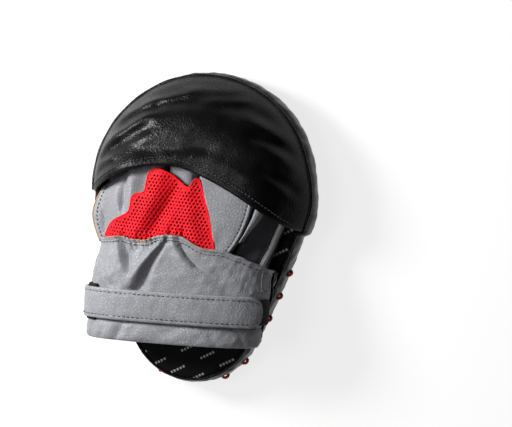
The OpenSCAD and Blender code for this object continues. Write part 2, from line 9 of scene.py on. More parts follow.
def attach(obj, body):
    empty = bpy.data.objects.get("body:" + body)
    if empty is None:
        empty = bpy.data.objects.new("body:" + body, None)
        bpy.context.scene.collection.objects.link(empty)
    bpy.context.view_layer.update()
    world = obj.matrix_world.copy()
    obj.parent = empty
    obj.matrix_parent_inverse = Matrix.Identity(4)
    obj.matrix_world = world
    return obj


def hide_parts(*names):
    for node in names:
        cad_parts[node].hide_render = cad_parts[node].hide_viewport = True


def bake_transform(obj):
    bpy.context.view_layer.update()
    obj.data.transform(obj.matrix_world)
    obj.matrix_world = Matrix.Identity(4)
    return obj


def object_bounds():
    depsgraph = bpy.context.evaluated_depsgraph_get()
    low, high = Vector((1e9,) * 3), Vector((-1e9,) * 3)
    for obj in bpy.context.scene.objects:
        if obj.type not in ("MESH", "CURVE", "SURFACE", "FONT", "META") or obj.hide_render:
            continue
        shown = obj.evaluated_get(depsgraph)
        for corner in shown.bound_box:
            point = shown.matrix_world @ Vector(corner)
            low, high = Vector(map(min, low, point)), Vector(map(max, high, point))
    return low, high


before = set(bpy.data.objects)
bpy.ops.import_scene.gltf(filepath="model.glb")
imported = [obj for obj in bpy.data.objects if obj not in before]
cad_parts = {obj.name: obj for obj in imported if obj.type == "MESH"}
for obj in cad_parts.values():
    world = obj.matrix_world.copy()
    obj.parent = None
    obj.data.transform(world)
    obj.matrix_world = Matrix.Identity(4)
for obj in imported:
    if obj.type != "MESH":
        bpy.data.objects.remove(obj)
cad_low, cad_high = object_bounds()
scene = bpy.context.scene

# Sizes of the mitt; _Y and _X are places in its plan, _Q places on the pad's skin (see skin)
PAD_LEN, PAD_W, HEEL_W = 271.0, 198.0, 118.0
TIP_THICK, HEEL_THICK = 30.0, 36.0
ARCH_RISE, FACE_CROWN, SIDE_BOW = 8.0, 2.0, 2.0
EDGE_ROUND, FOOT_DEPTH = 12.0, 12.0
HIDE, CLOTH, GAP = 1.8, 1.2, 0.3
DISC_R, DISC_SEAM_R, RIM_LAP = 40.0, 36.0, 6.0
LACE_CHORD, LACE_BOW, LACE_PITCH, LACE_COUNT, LACE_FIRST, LACE_SLANT = 3.5, 1.8, 22.0, 6, 36.0, 35.0
HOOD_RISE, HOOD_RUN, SEAM_INSET, HOOD_SIDE = 35.0, 62.0, 3.0, 12.0
MOUTH_THUMB_Y, MOUTH_OUTER_Y, MOUTH_PEAK_Y, MOUTH_PEAK_X = 4.0, 26.0, 54.0, -18.0
KNUCKLE_RISE, FINGER_RISE, HAND_SPRING, HAND_INSET = 38.0, 27.0, 3.0, 9.0
FINGER_TIP, MESH_PITCH = 9.0, 3.3
CUFF_W, CUFF_MID, CUFF_RISE, CUFF_LIFT = 158.0, -5.0, 27.0, 14.0
CUFF_END_Y, CUFF_SLANT, ROLL_LEN = -97.5, 1.5, 16.0
HEM_THUMB_Y, HEM_OUTER_Y, HEM_MID_Y = -32.0, -15.0, -12.0
STRAP_W, STRAP_Y, STRAP_THICK, TAPE_THICK, STRAP_CLEAR = 26.0, -66.5, 2.4, 1.2, 0.5
ANCHOR_ANGLE, SPLIT_ANGLE, FOLD_ANGLE, STRAP_REACH, TIP_ROUND = 150.0, 123.0, 96.0, 74.5, 10.0
STRAP_STEP, STRAP_SEAM, STRAP_END_SEAM, STRAP_FOOT, STRAP_BEND = 1.2, 3.2, 3.4, 10.0, 0.006
WALL_POWER, ARCH_POWER = 0.7, 0.8
LINING_Q, GUSSET_Q = 1.8, 1.25

CROWN_R, HEEL_R = PAD_W / 2, HEEL_W / 2
CROWN_Y, HEEL_Y = PAD_LEN / 2 - CROWN_R, HEEL_R - PAD_LEN / 2
LEAN = math.asin((CROWN_R - HEEL_R) / (CROWN_Y - HEEL_Y))
ARCH_END = PAD_LEN / 2 - EDGE_ROUND - FOOT_DEPTH
LAP_Q = 1 - RIM_LAP / (PAD_LEN / 2 - EDGE_ROUND)
SLANT = math.tan(math.radians(CUFF_SLANT))
UP = np.array([0.0, 0.0, 1.0])


# Small maths

def mix(a, b, t):
    return a + (b - a) * t


def smooth(t):
    c = np.clip(t, 0, 1)
    return c * c * (3 - 2 * c)


def spow(v, p):
    return np.sign(v) * np.abs(v) ** p


def cosd(a):
    return np.cos(np.radians(a))


def sind(a):
    return np.sin(np.radians(a))


def bump(x, middle, width):
    return np.exp(-((x - middle) / width) ** 2)


def unit(v):
    v = np.asarray(v, float)
    return v / np.maximum(np.linalg.norm(v, axis=-1, keepdims=True), 1e-9)


def xyz(x, y, z):
    return np.stack(np.broadcast_arrays(x, y, z), -1)


def net(rows, cols):
    """Grids of two values: the first changes from row to row, the second along each row."""
    return np.meshgrid(rows, cols, indexing="ij")


def wander(x, y, scale, seed=0.0):
    """Smooth unevenness between about -1 and 1."""
    u, v = np.asarray(x) / scale, np.asarray(y) / scale
    return (np.sin(1.7 * u + 2.3 * v + seed) + np.sin(2.9 * u - 1.3 * v + 1.7 * seed + 1)
            + np.sin(-1.1 * u + 3.1 * v + 2.3 * seed + 2)) / 3


# Pad: outline, face, wall and back

def side_width(t):
    return SIDE_BOW * 4 * t * (1 - t)


def outline_table():
    crown = np.linspace(-LEAN, math.pi + LEAN, 420)
    heel = np.linspace(math.pi + LEAN, 2 * math.pi - LEAN, 220)
    t = np.linspace(0, 1, 90)[1:-1]

    def arc(r, y, a):
        return np.stack([r * np.cos(a), y + r * np.sin(a), np.cos(a), np.sin(a)], -1)

    def side(a, t):
        top, foot = arc(CROWN_R, CROWN_Y, a), arc(HEEL_R, HEEL_Y, a)
        out = np.array([math.cos(a), math.sin(a), 0, 0])
        return mix(top, foot, t[:, None]) + side_width(t)[:, None] * out

    rows = np.concatenate([arc(CROWN_R, CROWN_Y, crown), side(math.pi + LEAN, t),
                           arc(HEEL_R, HEEL_Y, heel), side(-LEAN, t[::-1])])
    rows = np.concatenate([rows, rows[:1]])
    return rows, run_along(rows[:, :2])


def run_along(path):
    """Distance along a path at each of its points."""
    return np.concatenate([[0], np.cumsum(np.linalg.norm(np.diff(path, axis=0), axis=1))])


OUTLINE, ALONG = outline_table()
ROUND = ALONG[-1]


def rim_at(d):
    """Place on the outline and outward direction, by the distance from the thumb side's crown end."""
    d = np.mod(d, ROUND)
    return np.stack([np.interp(d, ALONG, OUTLINE[:, k]) for k in range(4)], -1)


def rim_dist(y):
    """Distance round the outline to height y on the little-finger side."""
    outer = OUTLINE[:-1, 0] <= 0
    return ALONG[:-1][outer][np.argmin(np.abs(OUTLINE[:-1, 1][outer] - y))]


def half_width(y):
    y = np.asarray(y, float)
    crown_t, heel_t = CROWN_Y - CROWN_R * math.sin(LEAN), HEEL_Y - HEEL_R * math.sin(LEAN)
    t = np.clip((crown_t - y) / (crown_t - heel_t), 0, 1)
    side = math.cos(LEAN) * (mix(CROWN_R, HEEL_R, t) + side_width(t))
    crown = np.sqrt(np.maximum(0, CROWN_R ** 2 - (y - CROWN_Y) ** 2))
    heel = np.sqrt(np.maximum(0, HEEL_R ** 2 - (y - HEEL_Y) ** 2))
    return np.where(y > crown_t, crown, np.where(y > heel_t, side, heel))


def face_z(y):
    return ARCH_RISE * (1 - (np.minimum(np.abs(y), ARCH_END) / ARCH_END) ** 2)


def thickness(y):
    return mix(HEEL_THICK, TIP_THICK, smooth(np.asarray(y) / PAD_LEN + 0.5))


def back_z(y):
    return face_z(y) + thickness(y)


def skin(rim, q, depth=0.0):
    """Point of the pad's skin: q is 0 to 1 over the face, 1 to 2 up the wall, 2 to 3 over the back."""
    q, depth = np.asarray(q, float), np.asarray(depth, float)
    x, y, nx, ny = (rim[..., k] for k in range(4))
    share = np.where(q <= 1, q, np.where(q >= 2, 3 - q, 1.0))
    a = np.pi * (np.clip(q, 1, 2) - 1) - np.pi / 2
    ca, sa = np.maximum(np.cos(a), 0), np.sin(a)
    wall = (q > 1) & (q < 2)
    into = np.where(wall, EDGE_ROUND * (1 - ca ** WALL_POWER) + depth * ca, EDGE_ROUND)
    px, py = (x - into * nx) * share, (y - into * ny) * share
    low = np.maximum(0, face_z(py) - FACE_CROWN * (1 - share ** 2)) + depth
    mid = face_z(py) + thickness(py) * (1 + spow(sa, WALL_POWER)) / 2 - depth * sa
    return xyz(px, py, np.where(q <= 1, low, np.where(q >= 2, back_z(py) - depth, mid)))


# Hood and glove back

def edge_drop(d, y):
    c = np.clip(1 - d / EDGE_ROUND, 0, 1) ** (1 / WALL_POWER)
    return thickness(y) / 2 * (1 - np.maximum(0, 1 - c * c) ** (WALL_POWER / 2))


def in_from_crown(x, y):
    """How far a plan point lies inside the pad's rounded finger end."""
    return CROWN_R - np.hypot(x, y - CROWN_Y)


def hood_under(x, y):
    d = in_from_crown(x, y)
    climb = HOOD_RISE * (1 - (1 - np.clip((d - SEAM_INSET) / HOOD_RUN, 0, 1)) ** 3)
    return back_z(y) + 2 * GAP + climb - edge_drop(d, y)


MOUTH_X0 = SEAM_INSET - float(half_width(MOUTH_OUTER_Y))
MOUTH_X1 = float(half_width(MOUTH_THUMB_Y)) - SEAM_INSET


def mouth_y(x):
    left = np.clip((MOUTH_PEAK_X - x) / (MOUTH_PEAK_X - MOUTH_X0), 0, None) ** 2
    right = np.clip((x - MOUTH_PEAK_X) / (MOUTH_X1 - MOUTH_PEAK_X), 0, None) ** 1.5
    return np.where(x < MOUTH_PEAK_X, mix(MOUTH_PEAK_Y, MOUTH_OUTER_Y, left),
                    mix(MOUTH_PEAK_Y, MOUTH_THUMB_Y, right))


def hood_plan(v, t):
    """Plan of the hood: v runs along its mouth to the thumb side, t from its seam to its mouth."""
    x = mix(MOUTH_X0, MOUTH_X1, (1 - np.cos(np.pi * v)) / 2)
    a0 = math.pi - math.asin((MOUTH_OUTER_Y + HOOD_SIDE - CROWN_Y) / CROWN_R)
    a1 = math.asin((MOUTH_THUMB_Y + HOOD_SIDE - CROWN_Y) / CROWN_R)
    a = mix(a0, a1, v)
    r = CROWN_R - SEAM_INSET
    k = 0.02 + 0.98 * t ** 1.3
    return mix(r * np.cos(a), x, k), mix(CROWN_Y + r * np.sin(a), mouth_y(x), k)


def to_hand(y):
    """0 along the cuff, 1 over the hand."""
    return smooth((np.asarray(y) + 46) / 50)


def arch_mid(y):
    return CUFF_MID * (1 - to_hand(y))


def arch_half(y):
    return mix(CUFF_W / 2, half_width(y) - HAND_INSET, to_hand(y))


SPRING_Z = float(back_z(0.0)) + CUFF_LIFT


def arch_spring(y):
    return mix(SPRING_Z, back_z(y) + HAND_SPRING, to_hand(y))


def arch_top(y):
    rise = mix(KNUCKLE_RISE, FINGER_RISE, smooth((np.asarray(y) - 4) / (CROWN_Y + CROWN_R - 4)))
    return mix(CUFF_RISE, rise - HAND_SPRING, to_hand(y))


def arch_cos(a):
    return spow(cosd(a), ARCH_POWER)


def arch_sin(a):
    return np.maximum(0, sind(a)) ** ARCH_POWER


def glove_z(x, y, depth):
    """Height of the glove's back over a plan point, measured in from its outside and kept below the hood."""
    u = np.clip(np.abs(x - arch_mid(y)) / (arch_half(y) - depth), 0, 1)
    z = arch_spring(y) + (arch_top(y) - depth) * (1 - u ** (2 / ARCH_POWER)) ** (ARCH_POWER / 2)
    return mix(z, np.minimum(z, hood_under(x, y) - (2 + depth)), smooth((y - MOUTH_THUMB_Y) / 24 + 1))


# The cuff's hem in plan, from the little-finger side to the thumb side
HEM_LINE = np.array([
    (-90, -15.5), (-76.3, -14.3), (-65.2, -12.8), (-56.6, -11.5), (-48.9, -11.8), (-43.5, -13.2), (-36.6, -13.5),
    (-30.3, -12.1), (-24.1, -9.1), (-16.3, -7.3), (-7.9, -6.6), (-2.1, -6.8), (2.8, -8.3), (8, -11.1), (12.9, -14.1),
    (20, -15.6), (27.8, -15.7), (39.9, -16.8), (54.9, -21.1), (67.2, -25.5), (80, -31.1), (92, -35)])


def hem_at(x):
    """Place of the hem over a plan x, with the line's corners taken off."""
    return sum(share * np.interp(x + off, *HEM_LINE.T) for off, share in ((-2.0, 0.25), (0, 0.5), (2.0, 0.25)))


def hem_y(a):
    return hem_at(arch_mid(HEM_MID_Y) + arch_half(HEM_MID_Y) * arch_cos(a))


def slant_y(a):
    return SLANT * CUFF_W / 2 * arch_cos(a)


def cuff_seam_y(a):
    return CUFF_END_Y + ROLL_LEN + slant_y(a)


# Gathers under the cuff's hem, each as rows of y, x, width and depth; a ridge has a depth below 0
GATHERS = [np.array(rows, float) for rows in (
    [(-64, -42, 8, 0), (-57, -38.5, 6.5, 5.0), (-50, -34.6, 5.2, 6.6), (-41, -30.7, 4.2, 6.0),
     (-32.6, -26.8, 3.2, 4.8), (-22, -20.4, 2.3, 3.4), (-15, -15.6, 1.8, 2.5), (-11, -13.2, 1.6, 1.8),
     (-5, -11.5, 1.5, 1.0)],
    [(-54, -44, 6.5, 0), (-46, -40.4, 6, -2.0), (-41, -37, 5.6, -3.0), (-33, -32, 5, -3.6), (-22, -24.8, 3.8, -3.2),
     (-16.6, -20.3, 3.1, -2.5), (-11, -16.6, 2.5, -1.7), (-7, -15, 2.2, -1.1)],
    [(-44, -43, 4, 0), (-38, -45, 3.8, 1.6), (-32.8, -47.5, 3.4, 3.0), (-26.8, -49.6, 2.8, 4.2),
     (-21.5, -51.6, 2.4, 4.2), (-15.4, -54.3, 2, 3.4), (-10, -55.5, 1.8, 2.0)],
    [(-46, -49, 5, 0), (-38, -50.8, 4.6, -1.6), (-29.5, -53.6, 4, -2.5), (-20, -56.8, 3.2, -2.5),
     (-11, -58.8, 2.5, -1.3)],
    [(-36, -47, 6, 0), (-24, -43, 5, 1.2), (-14, -39, 5, 2.0), (-10, -38, 5, 1.6)],
    [(-40, 31, 5, 0), (-34.6, 23.6, 3.8, 1.0), (-31.3, 17, 3, 1.7), (-26.3, 11, 2.3, 2.6), (-21.4, 5.3, 1.9, 3.2),
     (-14.1, 0, 1.6, 3.0), (-10, -1.4, 1.5, 2.2), (-6, -2, 1.5, 1.4)],
    [(-40, 13, 5.5, 0), (-30, 6, 4.8, -1.3), (-24.8, 1.2, 4.2, -1.9), (-15.3, -6.2, 3, -1.9), (-9, -7.8, 2.4, -1.0)],
    [(-60, -66, 5, 0), (-52, -62, 4, 1.4), (-46, -64, 4, 0)],
    [(-56, 50, 8, 0), (-46, 40, 8, 1.6), (-36, 34, 7, 0.8), (-28, 30, 6, 0)])]


def pleat(a, y):
    """How far the gathers draw the cuff in, and the small puckers along its hem."""
    x = arch_mid(y) + arch_half(y) * arch_cos(a)
    by_hem = smooth((y - hem_at(x) + 10) / 7) * smooth((x + 66) / 8) * smooth((9 - x) / 8)
    total = 0.45 * np.sin(1.55 * x + 0.3 * y) * by_hem
    for rows in GATHERS:
        at, width, depth = (np.interp(y, rows[:, 0], rows[:, k]) for k in (1, 2, 3))
        total = total + depth * bump(x, at, width)
    return total


def drawn_in(y):
    """How far the cuff's thumb side is drawn in towards the wrist."""
    return 7.5 * smooth((-46 - y) / 48)


def cuff_point(s, y, depth):
    """Point of the cuff: s is 0 at the little-finger side and 180 at the thumb side."""
    a = 180 - s
    x = arch_mid(y) + (arch_half(y) - depth) * arch_cos(a) - drawn_in(y) * np.clip(cosd(a), 0, 1) ** 0.8
    return xyz(x, y, arch_spring(y) + (arch_top(y) - depth) * arch_sin(a))


# Meshes

def grid_faces(rows, cols, wrap=False):
    at = np.arange(rows * cols).reshape(rows, cols)
    if wrap:
        at = np.concatenate([at, at[:, :1]], 1)
    return np.stack([at[:-1, :-1], at[:-1, 1:], at[1:, 1:], at[1:, :-1]], -1).reshape(-1, 4).tolist()


def make_object(name, points, faces, finish, edge=None):
    mesh = bpy.data.meshes.new(name)
    mesh.from_pydata((np.asarray(points, float).reshape(-1, 3) / 1000).tolist(), [], faces)
    mesh.update()
    mesh.shade_smooth()
    mesh.materials.append(finish)
    if edge is not None:
        # mask of rubbed edges and their painted highlight, kept on each point
        worn_and_highlighted = mesh.attributes.new("edge", "FLOAT", "POINT")
        worn_and_highlighted.data.foreach_set("value", np.asarray(edge, np.float32).ravel())
    obj = bpy.data.objects.new(name, mesh)
    scene.collection.objects.link(obj)
    return obj


def settle(obj, thick, rounds=0):
    """Gives a sheet its thickness, rounds it, and keeps the result as plain mesh."""
    if thick:
        solid = obj.modifiers.new("thickness", "SOLIDIFY")
        solid.thickness, solid.offset, solid.use_even_offset = thick / 1000, -1, False
    if rounds:
        soft = obj.modifiers.new("rounding", "SUBSURF")
        soft.levels = soft.render_levels = rounds
    made = bpy.data.meshes.new_from_object(obj.evaluated_get(bpy.context.evaluated_depsgraph_get()))
    made.name = obj.name
    obj.modifiers.clear()
    obj.data = made
    made.shade_smooth()
    return obj


def near_edge(points, reach):
    """1 at a sheet's border, fading to 0 inside it."""
    far = np.inf
    for axis in (0, 1):
        lengths = np.linalg.norm(np.diff(points, axis=axis), axis=-1)
        start = np.zeros_like(np.take(lengths, [0], axis))
        run = np.concatenate([start, np.cumsum(lengths, axis)], axis)
        far = np.minimum(far, np.minimum(run, np.take(run, [-1], axis) - run))
    return np.clip(1 - far / reach, 0, 1)


def sheet_piece(name, points, finish, thick=HIDE, reach=4.0):
    """Leather or cloth sheet over a grid of points whose columns and rows give its outer side."""
    faces = grid_faces(*points.shape[:2])
    return settle(make_object(name, points, faces, finish, near_edge(points, reach)), thick, 1)


def folded_edge(points, radius, back):
    """Adds rows that fold the sheet's last row under itself."""
    last, ahead = points[-1], unit(points[-1] - points[-3])
    normal = unit(np.cross(unit(np.gradient(last, axis=0)), ahead))
    turns = [last + radius * (math.sin(f) * ahead - (1 - math.cos(f)) * normal)
             for f in np.radians([35, 75, 110, 145, 180])]
    turns.append(turns[-1] - back * ahead)
    return np.concatenate([points, np.stack(turns)])


def domed(name, pole_a, rings, pole_b, finish, edge):
    """Closed or open round form from one or two poles and rings of points."""
    rows, n = rings.shape[:2]
    points = [rings.reshape(-1, 3)]
    faces = grid_faces(rows, n, True)
    if pole_a is not None:
        points.append(np.asarray(pole_a, float)[None])
        faces += [[rows * n, (k + 1) % n, k] for k in range(n)]
    if pole_b is not None:
        base, tip = (rows - 1) * n, rows * n + (pole_a is not None)
        points.append(np.asarray(pole_b, float)[None])
        faces += [[base + k, base + (k + 1) % n, tip] for k in range(n)]
    points = np.concatenate(points)
    edge = np.concatenate([np.ravel(edge), np.zeros(len(points) - rows * n)])
    return make_object(name, points, faces, finish, edge)


def tube_mesh(path, radius, sides=8, closed=False, flat=1.0, up=UP):
    """Points and faces of a round cord along a path."""
    path = np.asarray(path, float)
    ahead = unit(np.roll(path, -1, 0) - np.roll(path, 1, 0)) if closed else unit(np.gradient(path, axis=0))
    normal = np.zeros_like(path)
    for k in range(len(path)):
        up = up - ahead[k] * (up @ ahead[k])
        if np.linalg.norm(up) < 1e-6:
            up = np.cross(ahead[k], (1.0, 0.3, 0.2))
        normal[k] = up = up / np.linalg.norm(up)
    across = np.cross(ahead, normal)
    turn = np.linspace(0, 2 * np.pi, sides, endpoint=False)[None, :, None]
    r = np.broadcast_to(np.asarray(radius, float), (len(path),))[:, None, None]
    points = path[:, None] + r * (np.cos(turn) * across[:, None] + flat * np.sin(turn) * normal[:, None])
    faces = grid_faces(len(path), sides, True)
    last = (len(path) - 1) * sides
    if closed:
        faces += [[last + k, last + (k + 1) % sides, (k + 1) % sides, k] for k in range(sides)]
    else:
        faces += [list(range(sides))[::-1], [last + k for k in range(sides)]]
    return points.reshape(-1, 3), faces


def joined(parts):
    """One point list and face list from several."""
    points, faces, base = [], [], 0
    for p, f in parts:
        points.append(np.asarray(p, float).reshape(-1, 3))
        faces += [[k + base for k in face] for face in f]
        base += len(points[-1])
    return np.concatenate(points), faces


def resample(path, step):
    """The same line with points at an even step."""
    path = np.asarray(path, float)
    along = run_along(path)
    at = np.linspace(0, along[-1], max(2, int(round(along[-1] / step)) + 1))
    return np.stack([np.interp(at, along, path[:, k]) for k in range(path.shape[1])], -1)


def eased(line, step, rounds):
    """Line with its corners rounded off."""
    line = resample(line, step)
    for _ in range(rounds):
        line[1:-1] = (line[:-2] + 2 * line[1:-1] + line[2:]) / 4
    return line


def stitches(path, normals, pitch=4.3, length=3.0, r=0.34):
    """A row of separate stitches that dip into the leather at both ends."""
    step = 0.5
    both = resample(np.concatenate([path, np.broadcast_to(normals, path.shape)], 1), step)
    n = int((len(both) - 1) * step / pitch)
    at = np.clip(np.round((np.arange(n) + 0.5) * pitch / step).astype(int), 1, len(both) - 2)
    place, up = both[at, :3], unit(both[at, 3:])
    ahead = unit(both[np.minimum(at + 3, len(both) - 1), :3] - both[np.maximum(at - 3, 0), :3])
    up = unit(up - ahead * np.sum(up * ahead, -1, keepdims=True))
    side = np.cross(up, ahead)
    s = np.array([-0.5, -0.38, -0.15, 0.15, 0.38, 0.5])
    lift = np.array([-0.65, -0.05, 0.2, 0.2, -0.05, -0.65])
    wide = np.array([0.5, 0.95, 1, 1, 0.95, 0.5]) * r
    s, lift, wide = (v[None, :, None, None] for v in (s * length, lift, wide))
    place, ahead, up, side = (v[:, None, None] for v in (place, ahead, up, side))
    turn = np.linspace(0, 2 * np.pi, 6, endpoint=False)[None, None, :, None]
    points = place + ahead * s + up * lift + wide * (side * np.cos(turn) + up * np.sin(turn))
    one = np.array(grid_faces(6, 6, True))
    faces = (one[None] + 36 * np.arange(n)[:, None, None]).reshape(-1, 4).tolist()
    for k in range(n):
        faces.append([36 * k + j for j in (5, 4, 3, 2, 1, 0)])
        faces.append([36 * k + 30 + j for j in range(6)])
    return points.reshape(-1, 3), faces


def seat(surface, u, v, lift=0.0, eps=0.02):
    """Points and outward normals on a surface given by two parameters."""
    u, v = np.asarray(u, float), np.asarray(v, float)
    normal = unit(np.cross(surface(u + eps, v) - surface(u - eps, v), surface(u, v + eps) - surface(u, v - eps)))
    return surface(u, v) + lift * normal, normal


def wear(obj, nodes="", body="mitt"):
    """Puts a finished piece on its body and the nodes that it stands for."""
    if body:
        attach(obj, body)
    if nodes:
        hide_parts(*nodes.split())
    return obj


def add(name, shape, finish, nodes=""):
    """Makes a piece from points and faces and puts it on the mitt."""
    return wear(make_object(name, *shape, finish), nodes)


# Finishes

FLOAT = "NodeSocketFloat"


def new_group(name, inputs, outputs):
    """Shared effect: inputs with their usual values, and outputs, all of them plain values."""
    tree = bpy.data.node_groups.new(name, "ShaderNodeTree")
    for label, value in inputs.items():
        tree.interface.new_socket(name=label, in_out="INPUT", socket_type=FLOAT).default_value = value
    for label in outputs:
        tree.interface.new_socket(name=label, in_out="OUTPUT", socket_type=FLOAT)
    return tree, tree.nodes.new("NodeGroupInput").outputs, tree.nodes.new("NodeGroupOutput").inputs


def node(tree, kind, inputs=None, **settings):
    made = tree.nodes.new(kind)
    for key, value in settings.items():
        setattr(made, key, value)
    for key, value in (inputs or {}).items():
        if isinstance(value, bpy.types.NodeSocket):
            tree.links.new(value, made.inputs[key])
        else:
            made.inputs[key].default_value = value
    return made


def calc(tree, operation, a, b=0.0, clamp=False):
    return node(tree, "ShaderNodeMath", {0: a, 1: b}, operation=operation, use_clamp=clamp).outputs[0]


def times(tree, a, b):
    return calc(tree, "MULTIPLY", a, b)


def plus(tree, a, b):
    return calc(tree, "ADD", a, b)


def ramp(tree, value, low, high, start=0.0, end=1.0, **settings):
    return node(tree, "ShaderNodeMapRange", {0: value, 1: low, 2: high, 3: start, 4: end}, **settings).outputs[0]


def blend_colour(tree, share, a, b):
    return node(tree, "ShaderNodeMix", {0: share, 6: a, 7: b}, data_type="RGBA").outputs[2]


def place_on(tree):
    return node(tree, "ShaderNodeTexCoord").outputs["Object"]


def laid(tree, turn):
    """Places on a piece, turned about the three axes."""
    return node(tree, "ShaderNodeMapping", {"Vector": place_on(tree), "Rotation": turn}).outputs[0]


def noise(tree, scale, detail, rough=0.5):
    inputs = {"Vector": place_on(tree), "Scale": scale, "Detail": detail, "Roughness": rough}
    return node(tree, "ShaderNodeTexNoise", inputs).outputs[0]


def wave(tree, place, scale, distortion, detail):
    inputs = {"Vector": place, "Scale": scale, "Distortion": distortion, "Detail": detail}
    return node(tree, "ShaderNodeTexWave", inputs).outputs["Fac"]


def cells(tree, place, scale, feature="F1", spread=1.0):
    inputs = {"Vector": place, "Scale": scale, "Randomness": spread}
    return node(tree, "ShaderNodeTexVoronoi", inputs, feature=feature).outputs["Distance"]


def hide_grain():
    """Pebbled leather grain with fine creases between the pebbles and slow changes of tone."""
    tree, given, out = new_group("hide_grain", {"Pebble size": 1.5}, ("Height", "Tone", "Pores"))
    place = place_on(tree)
    warp = node(tree, "ShaderNodeTexNoise", {"Vector": place, "Scale": 90.0, "Detail": 2.0}).outputs["Color"]
    bent = node(tree, "ShaderNodeMixRGB", {0: 0.004, 1: place, 2: warp}, blend_type="LINEAR_LIGHT").outputs[0]
    size = calc(tree, "DIVIDE", 1000.0, given["Pebble size"])
    pebble = ramp(tree, cells(tree, bent, size, "DISTANCE_TO_EDGE", 0.9), 0.0, 0.28)
    fine, broad = noise(tree, 1900.0, 3.0, 0.6), noise(tree, 38.0, 4.0, 0.6)
    depth = times(tree, pebble, plus(tree, times(tree, ramp(tree, broad, 0.3, 0.7), 0.6), 0.4))
    tree.links.new(plus(tree, depth, times(tree, fine, 0.35)), out["Height"])
    tree.links.new(broad, out["Tone"])
    tree.links.new(calc(tree, "SUBTRACT", 1.0, pebble), out["Pores"])
    return tree


def edge_rub_and_highlight():
    """Rubbed edges, which also carry a painted highlight along a sheet's border: strongest at the border, broken up by
    noise.
    """
    tree, given, out = new_group("edge_rub_and_highlight", {"Amount": 0.5, "Break up": 160.0}, ("Mask",))
    border = node(tree, "ShaderNodeAttribute", attribute_name="edge").outputs["Fac"]
    speckle = noise(tree, given["Break up"], 5.0)
    rub_and_highlight = times(tree, calc(tree, "POWER", border, 2.2), ramp(tree, speckle, 0.25, 0.75))
    tree.links.new(calc(tree, "MULTIPLY", rub_and_highlight, given["Amount"], True), out["Mask"])
    return tree


def cloth_weave():
    """Fine twill: two crossing sets of ribs."""
    tree, given, out = new_group("cloth_weave", {"Pitch": 0.9}, ("Height", "Tone"))
    size = times(tree, calc(tree, "DIVIDE", 1000.0, given["Pitch"]), 0.16)
    ribs = [wave(tree, laid(tree, (0.35, 0.2, turn)), size, 0.6, 1.0) for turn in (0.6, -0.75)]
    fuzz = noise(tree, 900.0, 2.0)
    weave = calc(tree, "MAXIMUM", *ribs)
    tree.links.new(plus(tree, weave, times(tree, fuzz, 0.5)), out["Height"])
    tree.links.new(times(tree, weave, fuzz), out["Tone"])
    return tree


GRAIN, EDGE_RUB_AND_HIGHLIGHT, WEAVE = hide_grain(), edge_rub_and_highlight(), cloth_weave()


def use(tree, group, **values):
    made = node(tree, "ShaderNodeGroup", node_tree=group)
    for key, value in values.items():
        made.inputs[key.replace("_", " ")].default_value = value
    return made.outputs


def start_finish(name, rough, specular=0.5, sheen=0.0):
    mat = bpy.data.materials.new(name)
    mat.use_nodes = True
    shader = mat.node_tree.nodes["Principled BSDF"]
    shader.inputs["Roughness"].default_value = rough
    shader.inputs["Specular IOR Level"].default_value = specular
    shader.inputs["Sheen Weight"].default_value = sheen
    return mat, mat.node_tree, shader


def end_finish(tree, shader, colour, height, relief):
    """Links a finish's colour and its surface relief, in millimetres."""
    tree.links.new(colour, shader.inputs["Base Color"])
    lifted = node(tree, "ShaderNodeBump", {"Height": height, "Distance": relief / 1000, "Strength": 1.0})
    tree.links.new(lifted.outputs[0], shader.inputs["Normal"])


def shade(colour, factor):
    return tuple(min(1.0, c * factor) for c in colour[:3]) + (1.0,)


def between(tree, share, colour, dark, light):
    """A colour that changes from a darker to a lighter shade of itself."""
    return blend_colour(tree, share, shade(colour, dark), shade(colour, light))


def leather(name, colour, rough, worn_and_highlighted, pebble, relief, rub_and_highlight_amount, specular, vary):
    mat, tree, shader = start_finish(name, rough, specular)
    grain, rub_and_highlight = use(tree, GRAIN, Pebble_size=pebble), use(tree, EDGE_RUB_AND_HIGHLIGHT, Amount=rub_and_highlight_amount)
    tone = ramp(tree, grain["Tone"], 0.25, 0.75)
    base = between(tree, tone, colour, 1 - vary, 1 + vary)
    base = blend_colour(tree, times(tree, grain["Pores"], 0.45), base, shade(colour, 0.45))
    # edges blended to the edge colour: rubbing, and partly a painted highlight
    base = blend_colour(tree, rub_and_highlight["Mask"], base, worn_and_highlighted)
    gloss = plus(tree, rough - 0.07, times(tree, tone, 0.16))
    tree.links.new(plus(tree, gloss, times(tree, grain["Pores"], 0.12)), shader.inputs["Roughness"])
    end_finish(tree, shader, base, grain["Height"], relief)
    return mat


def tick_marks(tree):
    """Mask of small groups of slanted ticks, in rows that are set off from each other."""
    group_pitch, row_pitch = 30.0, 13.0
    scale = (1000 / group_pitch, 1000 / row_pitch, 1)
    turned = laid(tree, (0, 0, math.radians(-30)))
    counted = node(tree, "ShaderNodeVectorMath", {0: turned, 1: scale}, operation="MULTIPLY").outputs[0]
    split = node(tree, "ShaderNodeSeparateXYZ", {0: counted}).outputs
    set_off = times(tree, calc(tree, "FLOOR", split[1]), 0.43)
    along, across = calc(tree, "FRACT", plus(tree, split[0], set_off)), calc(tree, "FRACT", split[1])
    tick = calc(tree, "LESS_THAN", calc(tree, "FRACT", times(tree, along, 10.0)), 0.62)
    group = times(tree, calc(tree, "LESS_THAN", along, 0.5), calc(tree, "LESS_THAN", across, 0.15))
    return times(tree, group, tick)


